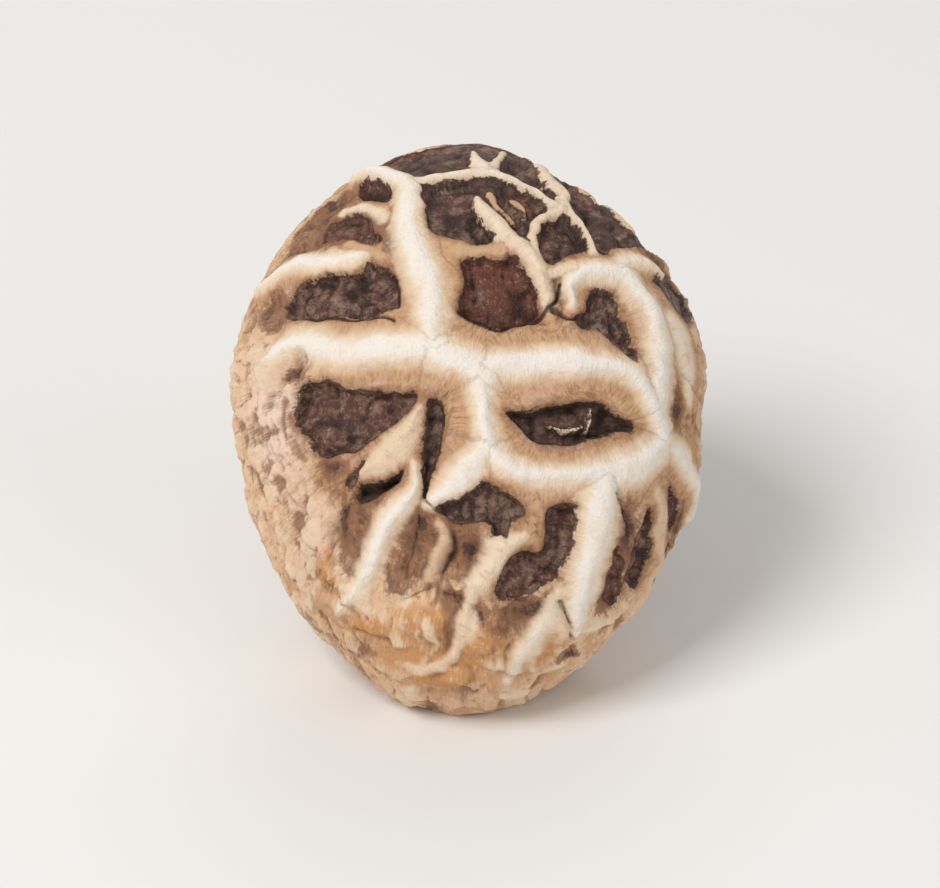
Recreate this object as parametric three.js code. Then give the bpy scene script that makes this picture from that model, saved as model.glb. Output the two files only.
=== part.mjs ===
// A dried shiitake of the cracked "flower" kind: one grown piece, made of a thick domed cap with an
// inrolled margin, the gills under it and a short bent stem. It lies as such a mushroom settles on a
// table, on the low edge of its margin and the end of its stem, with its crown turned up and forwards.
//
// The cap has its own frame: the origin is at the middle of its widest line, +Z comes out of the crown,
// +X is to the right and +Y is towards the high edge. The mushroom is drawn there, as one lathed skin
// whose every vertex is then moved, and the group tips it into the row frame. Millimetres throughout.
import * as THREE from "three";

// Driving dimensions of the cap. Its radii are 30 degrees apart, from +X towards +Y.
const CAP_RADII = [22.0, 22.7, 23.2, 25.7, 24.6, 23.1, 22.2, 22.6, 26.0, 28.7, 25.2, 22.5];
const CROWN_HEIGHT = 15.5; // crown above the widest line
const DOME_POWER = 2.25; // 2 is an ellipse, and more is a flatter crown with rounder shoulders
const MARGIN_WIDTH = 6.5; // from the widest line in to the lip
const MARGIN_DEPTH = 6.8; // from the widest line down to the lip
const LIP_WAVE = 1.5; // how much deeper the lip hangs beside its low point than at it
const LIP_WAVE_SPREAD = 0.42; // where the lip hangs deepest, in radians either side of its low point
const LIP_WAVE_WIDTH = 0.2; // the spread of each dip, in radians
const CURL_WIDTH = 3.2; // the margin's curl, from the lip in to the first gill
const CURL_HEIGHT = 4.2;

// Gills and stem.
const GILL_EDGE_HEIGHT = 0.6; // the gills' edges in the middle of their run, above the widest line
const GILL_FOLD = 0.7; // half of a fold's depth, where each fold stands for a few real gills
const GILL_FOLD_RISE = 2.5; // how fast the folds grow from nothing at both ends of their run
const STEM_ROOT_HEIGHT = -1.2;
const STEM_END_HEIGHT = -21.4;
const STEM_RADIUS = 5.4;
const STEM_ROOT_FLARE = 1.7;
const STEM_FOOT_FLARE = 0.7;
const STEM_FLARE_POWER = 3; // more keeps each flare nearer to its end
const STEM_BEND = [0.9, -4.6]; // how far the stem's end lies from the cap's axis, along x and y
const STEM_BEND_POWER = 1.6; // 1 is a straight slant, and more bends the stem nearer to its end
const STEM_OVAL = 0.1; // the share by which the stem is wider along x than along y

// The raised ribs of pale flesh between the dark scales of skin, as routes in plan over the cap, each
// with its half-width and height. The first three start together just beside the crown.
const RIBS = [
  {
    halfWidth: 1.6,
    height: 0.9,
    route: [[-3.3, 1.9], [-9, 1.9], [-12, 1.9], [-14.5, 3.1], [-16.8, 3.1], [-19, 1.8]],
  },
  {
    halfWidth: 1.7,
    height: 0.9,
    route: [[-3.3, 1.9], [0, 0.5], [5, 0.4], [10, 0.9], [14.5, 0.5], [17.2, -2.4]],
  },
  {
    halfWidth: 1.6,
    height: 0.9,
    route: [[-3.3, 1.9], [-3.6, 6.2], [-5.4, 12.4], [-5.9, 17], [-7.2, 20.1], [-10.5, 20.8]],
  },
  {
    halfWidth: 1.6,
    height: 0.9,
    route: [[17.3, -2.5], [17.4, 0.2], [17, 5], [15.4, 8.2], [13.6, 10], [10, 9.6], [9, 6.3]],
  },
  {
    halfWidth: 1.4,
    height: 0.8,
    route: [[0.8, -0.6], [1.3, -4], [1.7, -7.1], [-1.2, -10.2], [-3.2, -12.1]],
  },
  {
    halfWidth: 1.5,
    height: 0.9,
    route: [[1.7, -7.1], [3.6, -9.1], [8.5, -9.6], [13.3, -8.8], [17.8, -5.3], [20.8, -8]],
  },
  {
    halfWidth: 1.8,
    height: 0.9,
    route: [[12, -9.3], [11.3, -13.6], [10.2, -18.1], [9.2, -22.6]],
  },
  {
    halfWidth: 1.4,
    height: 0.8,
    route: [[-5.1, -8.6], [-6, -12.2], [-8.4, -15.9], [-10.3, -19.5], [-11.8, -20.7]],
  },
  {
    halfWidth: 1.3,
    height: 0.7,
    route: [[-9.8, 11.3], [-13.8, 11.4], [-17.1, 11.2], [-19.4, 9.8]],
  },
  {
    halfWidth: 1.1,
    height: 0.6,
    route: [[0.6, 16.6], [3.1, 13.1], [5.7, 10.8], [6.6, 8.2], [7.2, 6]],
  },
  {
    halfWidth: 1.0,
    height: 0.6,
    route: [[-5.9, 18.7], [0, 19.8], [4.3, 18.9], [8.2, 16.2], [11, 12.5]],
  },
];

// How the mushroom lies: the cap's axis stands 45 degrees above the horizon.
const TIP_BACK = THREE.MathUtils.degToRad(45);
const LIFT = 21.3; // the cap frame's origin above the surface
const SHIFT_BACK = 1.8; // and behind the middle of the row frame

// The finish: pale brown flesh.
const FLESH_COLOR = 0xb08a66;
const FLESH_ROUGHNESS = 0.85;

// How finely the skin is drawn.
const SEGMENTS = 84;
const DOME_RINGS = 24;
const MARGIN_RINGS = 7;
const CURL_RINGS = 4;
const GILL_RINGS = 6;
const STEM_RINGS = 9;

/** The cap's radius towards an angle: a closed curve through CAP_RADII, smooth at each of them. */
function capRadius(angle) {
  const count = CAP_RADII.length;
  const place = (((angle / (2 * Math.PI)) * count) % count + count) % count;
  const first = Math.floor(place);
  const f = place - first;
  const [a, b, c, d] = [-1, 0, 1, 2].map((k) => CAP_RADII[(first + k + count) % count]);
  const bend = 2 * a - 5 * b + 4 * c - d;
  const twist = 3 * b - a - 3 * c + d;
  return 0.5 * (2 * b + (c - a) * f + bend * f ** 2 + twist * f ** 3);
}

/** The dome's height above the widest line, over a point in plan. */
function domeHeight(x, y) {
  const share = Math.min(1, Math.hypot(x, y) / capRadius(Math.atan2(y, x)));
  return CROWN_HEIGHT * (1 - share ** DOME_POWER) ** (1 / DOME_POWER);
}

/** How deep the margin hangs towards an angle: the lip dips on both sides of the cap's low point. */
function marginDepth(angle) {
  const fromLow = Math.atan2(Math.cos(angle), -Math.sin(angle));
  const dip = Math.exp(-(((Math.abs(fromLow) - LIP_WAVE_SPREAD) / LIP_WAVE_WIDTH) ** 2));
  return MARGIN_DEPTH + LIP_WAVE * dip;
}

/** Each rib with its route as points on the dome. */
const ribLines = RIBS.map(({ halfWidth, height, route }) => {
  const points = route.map(([x, y]) => new THREE.Vector3(x, y, domeHeight(x, y)));
  return { halfWidth, height, points };
});

/** How far the ribs raise the skin at a point of the dome: a bell across each rib, and the highest counts. */
function ribHeight(point) {
  let highest = 0;
  const nearest = new THREE.Vector3();
  for (const { halfWidth, height, points } of ribLines) {
    for (let i = 1; i < points.length; i++) {
      new THREE.Line3(points[i - 1], points[i]).closestPointToPoint(point, true, nearest);
      highest = Math.max(highest, height * Math.exp(-((nearest.distanceTo(point) / halfWidth) ** 2)));
    }
  }
  return highest;
}

/**
 * A point of the dome, share 0 at the crown and 1 at the widest line. Where a rib crosses it, it is raised
 * squarely to an ellipsoid of the cap's first radius and its crown's height.
 */
function domePoint(share, angle) {
  const t = (share * Math.PI) / 2;
  const radius = capRadius(angle) * Math.sin(t) ** (2 / DOME_POWER);
  const height = CROWN_HEIGHT * Math.max(0, Math.cos(t)) ** (2 / DOME_POWER);
  const point = new THREE.Vector3(radius * Math.cos(angle), radius * Math.sin(angle), height);
  const squares = new THREE.Vector3(CAP_RADII[0] ** 2, CAP_RADII[0] ** 2, CROWN_HEIGHT ** 2);
  const outwards = point.clone().divide(squares).normalize();
  return point.addScaledVector(outwards, ribHeight(point));
}

/** A point of the rolled margin, a quarter ellipse from the widest line (0) down to the lip (1). */
function marginPoint(share, angle) {
  const t = (share * Math.PI) / 2;
  const radius = capRadius(angle) - MARGIN_WIDTH * (1 - Math.cos(t));
  const height = -marginDepth(angle) * Math.sin(t);
  return new THREE.Vector3(radius * Math.cos(angle), radius * Math.sin(angle), height);
}

/** A point of the margin's curl, a quarter ellipse from the lip (0) up to the first gill (1). */
function curlPoint(share, angle) {
  const t = (share * Math.PI) / 2;
  const radius = capRadius(angle) - MARGIN_WIDTH - CURL_WIDTH * Math.sin(t);
  const height = -marginDepth(angle) + CURL_HEIGHT * (1 - Math.cos(t));
  return new THREE.Vector3(radius * Math.cos(angle), radius * Math.sin(angle), height);
}

/** The middle of the stem at a share of its length, bending away from the cap's axis. */
function stemMiddle(share) {
  const bend = share ** STEM_BEND_POWER;
  const height = THREE.MathUtils.lerp(STEM_ROOT_HEIGHT, STEM_END_HEIGHT, share);
  return new THREE.Vector3(STEM_BEND[0] * bend, STEM_BEND[1] * bend, height);
}

/** A point on the stem's side, 0 at the gills and 1 at the cut end. */
function stemPoint(share, angle) {
  const rootFlare = STEM_ROOT_FLARE * (1 - share) ** STEM_FLARE_POWER;
  const footFlare = STEM_FOOT_FLARE * share ** STEM_FLARE_POWER;
  const radius = STEM_RADIUS + rootFlare + footFlare;
  const side = new THREE.Vector3(radius * (1 + STEM_OVAL) * Math.cos(angle), radius * Math.sin(angle), 0);
  return stemMiddle(share).add(side);
}

/** A point on the gills' edges, 0 at the margin's curl and 1 at the stem, folded on every other segment. */
function gillPoint(share, angle, segment) {
  const outer = curlPoint(1, angle);
  const inner = stemPoint(0, angle);
  const point = outer.clone().lerp(inner, share);
  const arch = Math.sin(share * Math.PI);
  point.z += (GILL_EDGE_HEIGHT - (outer.z + inner.z) / 2) * arch;
  point.z += (segment % 2 ? GILL_FOLD : -GILL_FOLD) * Math.min(1, GILL_FOLD_RISE * arch);
  return point;
}

/** The skin's rings from the stem's cut end to the crown, each a function of an angle and its segment. */
function skinRings() {
  const rings = [() => stemMiddle(1)];
  for (let i = STEM_RINGS; i >= 0; i--) rings.push((angle) => stemPoint(i / STEM_RINGS, angle));
  for (let i = GILL_RINGS - 1; i >= 1; i--) {
    rings.push((angle, segment) => gillPoint(i / GILL_RINGS, angle, segment));
  }
  for (let i = CURL_RINGS; i >= 1; i--) rings.push((angle) => curlPoint(i / CURL_RINGS, angle));
  for (let i = MARGIN_RINGS; i >= 1; i--) rings.push((angle) => marginPoint(i / MARGIN_RINGS, angle));
  for (let i = DOME_RINGS; i >= 0; i--) rings.push((angle) => domePoint(i / DOME_RINGS, angle));
  return rings;
}

/** Lays a point on the surface where it would sink into it, as the margin and stem are pressed flat there. */
function restOnSurface(point) {
  const up = new THREE.Vector3(0, Math.sin(TIP_BACK), Math.cos(TIP_BACK));
  const height = point.dot(up) + LIFT;
  return height < 0 ? point.addScaledVector(up, -height) : point;
}

/** The whole mushroom as one lathed skin, with each vertex moved to its place in the cap's frame. */
function mushroomGeometry() {
  const rings = skinRings();
  const isPole = (k) => k === 0 || k === rings.length - 1;
  const profile = rings.map((_, k) => new THREE.Vector2(isPole(k) ? 0 : 1, k));
  const geometry = new THREE.LatheGeometry(profile, SEGMENTS);
  const positions = geometry.getAttribute("position");
  for (let column = 0; column <= SEGMENTS; column++) {
    const segment = column % SEGMENTS;
    const angle = (segment / SEGMENTS) * 2 * Math.PI;
    rings.forEach((ring, k) => {
      const point = restOnSurface(ring(angle, segment));
      positions.setXYZ(column * rings.length + k, point.x, point.y, point.z);
    });
  }
  geometry.deleteAttribute("normal");
  geometry.deleteAttribute("uv");
  return geometry;
}

const flesh = new THREE.MeshStandardMaterial({
  color: FLESH_COLOR,
  roughness: FLESH_ROUGHNESS,
  metalness: 0,
});
const mushroom = new THREE.Mesh(mushroomGeometry(), flesh);
mushroom.name = "mushroom";

const lying = new THREE.Group();
lying.add(mushroom);
lying.rotation.x = TIP_BACK;
lying.position.set(0, SHIFT_BACK, LIFT);

const part = new THREE.Group();
part.add(lying);
export default part;
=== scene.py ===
"""The looks of a dried, cracked-cap shiitake, lying on the low edge of its margin and the end of its stem.

Three pieces stand for the one grown mushroom: the cap's skin and flesh, the gills under it, and the stem.
Each is a closed surface worked out on a grid of two parameters in the cap's own frame, in millimetres: the
origin is at the middle of the cap's widest line, +Z comes out of the crown, +X is to the right and +Y is
towards the high edge. The last step tips each one into the frame's place, in metres.
"""

import logging
import math
from dataclasses import dataclass, field
from enum import Enum
from typing import Optional, Sequence, Union

import bpy
import numpy as np
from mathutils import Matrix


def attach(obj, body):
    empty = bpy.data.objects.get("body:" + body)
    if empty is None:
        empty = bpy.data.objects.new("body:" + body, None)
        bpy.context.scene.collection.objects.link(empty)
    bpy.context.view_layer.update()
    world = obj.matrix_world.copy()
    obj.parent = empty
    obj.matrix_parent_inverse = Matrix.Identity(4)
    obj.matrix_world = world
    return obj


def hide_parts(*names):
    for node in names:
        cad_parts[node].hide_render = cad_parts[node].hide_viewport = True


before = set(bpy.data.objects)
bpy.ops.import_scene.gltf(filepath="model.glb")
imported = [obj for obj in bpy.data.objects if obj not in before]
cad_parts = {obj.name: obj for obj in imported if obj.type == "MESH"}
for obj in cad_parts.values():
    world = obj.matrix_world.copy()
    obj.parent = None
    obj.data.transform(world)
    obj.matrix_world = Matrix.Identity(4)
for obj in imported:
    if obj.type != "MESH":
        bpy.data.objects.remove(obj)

log = logging.getLogger("mushroom")

MM = 0.001
TURN = 2 * math.pi
FAR = 1e9
NODE = "mushroom"
BODY = "root"

Route = Sequence[tuple[float, float]]
Range = tuple[float, float]
Place = tuple[float, float, float]
Colour = tuple[float, float, float, float]
Socket = bpy.types.NodeSocket
Value = Union[float, Socket]
Paint = Union[Colour, Socket]


# Curves, easing and lumps


@dataclass(frozen=True)
class Ramp:
    """An eased step: nothing at one number and the whole amount at another, which may be the lower."""

    off: float
    full: float
    amount: float = 1.0

    def __call__(self, value: np.ndarray) -> np.ndarray:
        """The amount at each value: 3t^2 - 2t^3 of the clipped share t of the way."""
        share = np.clip((value - self.off) / (self.full - self.off), 0.0, 1.0)
        return self.amount * (share * share * (3.0 - 2.0 * share))


def bell(value: np.ndarray, spread: float) -> np.ndarray:
    """The bell e^-(v/spread)^2, which is 1 at 0."""
    return np.exp(-((value / spread) ** 2))


def cubic(a: np.ndarray, b: np.ndarray, c: np.ndarray, d: np.ndarray, t: np.ndarray) -> np.ndarray:
    """The Catmull-Rom piece from b to c, whose slope at each is half the chord between its neighbours."""
    return 0.5 * (2 * b + (c - a) * t + (2 * a - 5 * b + 4 * c - d) * t**2 + (3 * b - a - 3 * c + d) * t**3)


def smooth_route(points: np.ndarray, steps: int, closed: bool) -> np.ndarray:
    """Refines a route with a Catmull-Rom curve through its points.

    Args:
        points: The route's points, one row each, in any number of dimensions.
        steps: How many pieces each span becomes.
        closed: Whether the route runs back to its first point.

    Returns:
        The refined points. A closed route doesn't repeat its first point.
    """
    count = len(points)
    places = [np.arange(count if closed else count - 1) + k for k in (-1, 0, 1, 2)]
    places = [place % count if closed else np.clip(place, 0, count - 1) for place in places]
    t = (np.arange(steps) / steps)[None, :, None]
    curve = cubic(*(points[place][:, None, :] for place in places), t).reshape(-1, points.shape[1])
    return curve if closed else np.vstack([curve, points[-1:]])


def to_piece(flat: np.ndarray, a: np.ndarray, b: np.ndarray) -> tuple[np.ndarray, np.ndarray]:
    """How points of a plane lie to a straight piece of a route.

    Args:
        flat: The points.
        a: The piece's start.
        b: Its end.

    Returns:
        Each point's distance to the piece, and its nearest place there, from 0 at a to 1 at b.
    """
    edge = b - a
    share = np.clip(((flat - a) @ edge) / (edge @ edge), 0, 1)
    return np.hypot(flat[..., 0] - a[0] - share * edge[0], flat[..., 1] - a[1] - share * edge[1]), share


@dataclass(frozen=True)
class Lumps:
    """Smooth random lumps in space with finer lumps on them: random values on a repeating cubic lattice,
    eased between its points. Each layer has half the size and half the height of the one before."""

    seed: int
    size: float
    height: float = 1.0
    layers: int = 3
    shift: float = 0.0
    layer_shift: float = 11.7
    lattice: int = 32
    offset: float = 7.3

    def _layer(self, points: np.ndarray, number: int) -> np.ndarray:
        """One layer of lumps.

        Args:
            points: Points in space, with three numbers along the last axis.
            number: The layer's number, from 0.

        Returns:
            A value between -1 and 1 for each point.
        """
        values = np.random.default_rng(self.seed).uniform(-1.0, 1.0, (self.lattice,) * 3)
        cell = (points + self.shift + self.layer_shift * number) / (self.size / 2**number) + self.offset
        base = np.floor(cell)
        share = Ramp(0.0, 1.0)(cell - base)
        low = base.astype(int) % self.lattice
        high = (low + 1) % self.lattice
        total = np.zeros(points.shape[:-1])
        for corner in np.ndindex(2, 2, 2):
            index = tuple((high if corner[k] else low)[..., k] for k in range(3))
            weights = [share[..., k] if corner[k] else 1.0 - share[..., k] for k in range(3)]
            total += values[index] * np.prod(weights, axis=0)
        return total

    def __call__(self, points: np.ndarray) -> np.ndarray:
        """The height of all the layers at points in space."""
        return self.height * sum(self._layer(points, k) / 2**k for k in range(self.layers))


@dataclass(frozen=True)
class Creases(Lumps):
    """Sharp creases between soft folds: a layer is -1 where its lumps pass through 0, and 0 on the folds."""

    layer_shift: float = 5.1
    slope: float = 2.6

    def _layer(self, points: np.ndarray, number: int) -> np.ndarray:
        """One layer of creases, whose sides rise with the lumps' distance from 0."""
        return np.minimum(1.0, self.slope * np.abs(super()._layer(points, number))) - 1.0


# The mushroom's form, in the cap's frame


@dataclass(frozen=True)
class CapForm:
    """The smooth cap. Its surface is a function of an angle and a station: 0 at the crown, 1 at the widest
    line, 2 at the margin's lip, 3 at the end of its curl and 4 at the middle of the hidden ceiling."""

    radii: tuple[float, ...] = (22.0, 22.7, 23.2, 25.7, 24.6, 23.1, 22.2, 22.6, 26.0, 28.7, 25.2, 22.5)
    mean_radius: float = 24.0
    crown_height: float = 15.5
    dome_power: float = 2.25
    margin_width: float = 6.5
    margin_depth: float = 6.8
    lip_wave: float = 1.5
    lip_wave_spread: float = 0.42
    lip_wave_width: float = 0.2
    curl_width: float = 3.2
    curl_height: float = 4.2
    ceiling_height: float = 2.6
    ceiling_lift: Ramp = Ramp(0.0, 0.35)
    ceiling_close: Ramp = Ramp(1.0, 0.35)
    bulge_rise: Ramp = Ramp(0.0, 0.3, 0.8)
    bulge_fall: Ramp = Ramp(0.5, 0.3)
    arc_steps: int = 601

    def radius(self, angle: np.ndarray) -> np.ndarray:
        """The cap's radius towards each angle: a closed Catmull-Rom curve through evenly spaced radii.

        Args:
            angle: Angles from +X towards +Y, in radians.

        Returns:
            The radii, in millimetres.
        """
        count = len(self.radii)
        table = np.array(self.radii)
        place = (angle / TURN * count) % count
        first = np.floor(place).astype(int)
        return cubic(*(table[(first + k) % count] for k in (-1, 0, 1, 2)), place - first)

    def depth(self, angle: np.ndarray) -> np.ndarray:
        """How deep the lip hangs: it dips on both sides of the cap's low point."""
        from_low = np.abs(np.arctan2(np.cos(angle), -np.sin(angle)))
        return self.margin_depth + self.lip_wave * bell(from_low - self.lip_wave_spread, self.lip_wave_width)

    def surface(self, station: np.ndarray, angle: np.ndarray) -> np.ndarray:
        """The smooth cap. The dome is a superellipse, r = R sin^(2/p) t and z = H cos^(2/p) t. The margin is
        a quarter ellipse inwards and down from the widest line, the curl is another, from the lip inwards and
        up, and the ceiling runs level to the middle.

        Args:
            station: Stations from 0 to 4.
            angle: Angles, of a shape that goes with the stations.

        Returns:
            Points, with x, y and z along the last axis.
        """
        station, angle = np.broadcast_arrays(station, angle)
        dome, margin, curl = (np.clip(station - start, 0, 1) * (math.pi / 2) for start in range(3))
        ceiling = np.clip(station - 3, 0, 1)
        power = 2 / self.dome_power
        dome_r = self.radius(angle) * np.sin(dome) ** power
        dome_z = self.crown_height * np.maximum(np.cos(dome), 0) ** power
        lip_r = dome_r - self.margin_width * (1 - np.cos(margin)) - self.curl_width * np.sin(curl)
        lip_z = dome_z - self.depth(angle) * np.sin(margin) + self.curl_height * (1 - np.cos(curl))
        r = lip_r * self.ceiling_close(ceiling) + self.bulge_rise(ceiling) * self.bulge_fall(ceiling)
        z = lip_z + (self.ceiling_height - lip_z) * self.ceiling_lift(ceiling)
        return np.stack([r * np.cos(angle), r * np.sin(angle), z], axis=-1)

    def arc(self, station: np.ndarray) -> np.ndarray:
        """How far along the skin each station is from the crown, on a cap of the mean radius.

        Args:
            station: Stations from 0 to 3.

        Returns:
            The distances, in millimetres.
        """
        steps = np.linspace(0, 3, self.arc_steps)
        line = self.surface(steps, np.zeros_like(steps)) * [self.mean_radius / self.radii[0], 1, 1]
        lengths = np.linalg.norm(np.diff(line, axis=0), axis=1)
        return np.interp(station, steps, np.concatenate([[0], np.cumsum(lengths)]))

    def spread_out(self, station: np.ndarray, angle: np.ndarray) -> np.ndarray:
        """The skin laid flat: each point keeps its angle, and goes as far out as it is along the skin."""
        reach = self.arc(station) * self.radius(angle) / self.mean_radius
        return np.stack([reach * np.cos(angle), reach * np.sin(angle)], axis=-1)

    def spread_plan(self, points: Route) -> np.ndarray:
        """Finds the places on the laid-out skin of points given in plan over the dome.

        Args:
            points: Places in plan, in millimetres.

        Returns:
            Their places on the laid-out skin, one row each.
        """
        plan = np.array(points, float)
        angle = np.arctan2(plan[:, 1], plan[:, 0])
        share = np.clip(np.hypot(plan[:, 0], plan[:, 1]) / self.radius(angle), 0, 1)
        station = np.arcsin(share ** (self.dome_power / 2)) / (math.pi / 2)
        return self.spread_out(station, angle)


@dataclass(frozen=True)
class StemForm:
    """The smooth stem, from its root among the gills to its cut end."""

    root_height: float = -1.2
    end_height: float = -21.4
    radius: float = 5.4
    root_flare: float = 1.7
    foot_flare: float = 0.7
    bend_x: float = 0.9
    bend_y: float = -4.6
    bend_power: float = 1.6
    oval: float = 0.1

    def middle(self, share: np.ndarray) -> np.ndarray:
        """The stem's middle line, which bends away from the cap's axis as share^power.

        Args:
            share: Shares of the stem's length, 0 at the root.

        Returns:
            Points of the line, with x, y and z along the last axis.
        """
        bend = np.maximum(share, 0) ** self.bend_power
        height = self.root_height + (self.end_height - self.root_height) * share
        return np.stack([self.bend_x * bend, self.bend_y * bend, height], axis=-1)

    def side(self, share: np.ndarray, angle: np.ndarray, reach: np.ndarray) -> np.ndarray:
        """Points round the middle line: an oval whose radius flares as a cube towards both ends.

        Args:
            share: Shares of the stem's length, 0 at the root. They may be below 0, inside the cap.
            angle: Angles round the stem.
            reach: How far out each point is, 1 on the stem's side and 0 at its middle.

        Returns:
            Points, with x, y and z along the last axis.
        """
        share, angle, reach = np.broadcast_arrays(share, angle, reach)
        inside = np.clip(share, 0, 1)
        radius = self.radius + self.root_flare * (1 - inside) ** 3 + self.foot_flare * inside**3
        out = np.stack([(1 + self.oval) * np.cos(angle), np.sin(angle), np.zeros_like(angle)], axis=-1)
        return self.middle(share) + out * (radius * reach)[..., None]


@dataclass(frozen=True)
class Lie:
    """How the mushroom lies: its axis tipped forwards, and its low parts pressed flat where they touch."""

    tip: float = math.radians(45)
    lift: float = 21.3
    shift_back: float = 1.8

    def place(self, points: np.ndarray) -> np.ndarray:
        """Turns points from the cap's frame into the frame's, and presses what is too low to the surface.

        Args:
            points: Points in the cap's frame, in millimetres.

        Returns:
            Points in the frame, in metres.
        """
        x, y, z = np.moveaxis(points, -1, 0)
        c, s = math.cos(self.tip), math.sin(self.tip)
        placed = np.stack([x, y * c - z * s + self.shift_back, y * s + z * c + self.lift], axis=-1)
        placed[..., 2] = np.maximum(placed[..., 2], 0)
        return placed * MM


# What is drawn on the cap


@dataclass(frozen=True)
class Rib:
    """A raised rib of pale flesh in a crack of the skin, as a route in plan over the dome, with widths spaced
    evenly along it."""

    route: Route
    widths: tuple[float, ...]
    height: float = 0.8
    paleness: float = 1.0


@dataclass(frozen=True)
class Scale:
    """A sunken scale of dark skin, as an outline in plan over the dome. Its tone runs from 0, nearly black,
    to 1, red-brown."""

    outline: Route
    depth: float = 0.8
    tone: float = 0.3


@dataclass(frozen=True)
class Crevice:
    """A narrow crevice, darkened with painted shade, as a route in plan over the dome. It tapers to half its
    width.
    """

    route: Route
    width: float = 0.5
    depth: float = 0.7
    # How dark its painted shade is.
    painted_shade: float = 1.0


class Hue(Enum):
    """The colours that a patch of the flesh can turn to."""

    AMBER = "amber"
    # Painted light: paler patches where the light falls on the left.
    BLOOM = "painted_light"
    UMBER = "umber"
    # Brown stains, and painted shade on some flanks.
    STAIN_AND_SHADE = "stain_and_shade"


@dataclass(frozen=True)
class Blush:
    """A coloured patch of the flesh, as an oval in plan over the dome."""

    middle: tuple[float, float]
    half_width: float
    half_height: float
    swell: float = 0.0
    strength: float = 1.0


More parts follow.
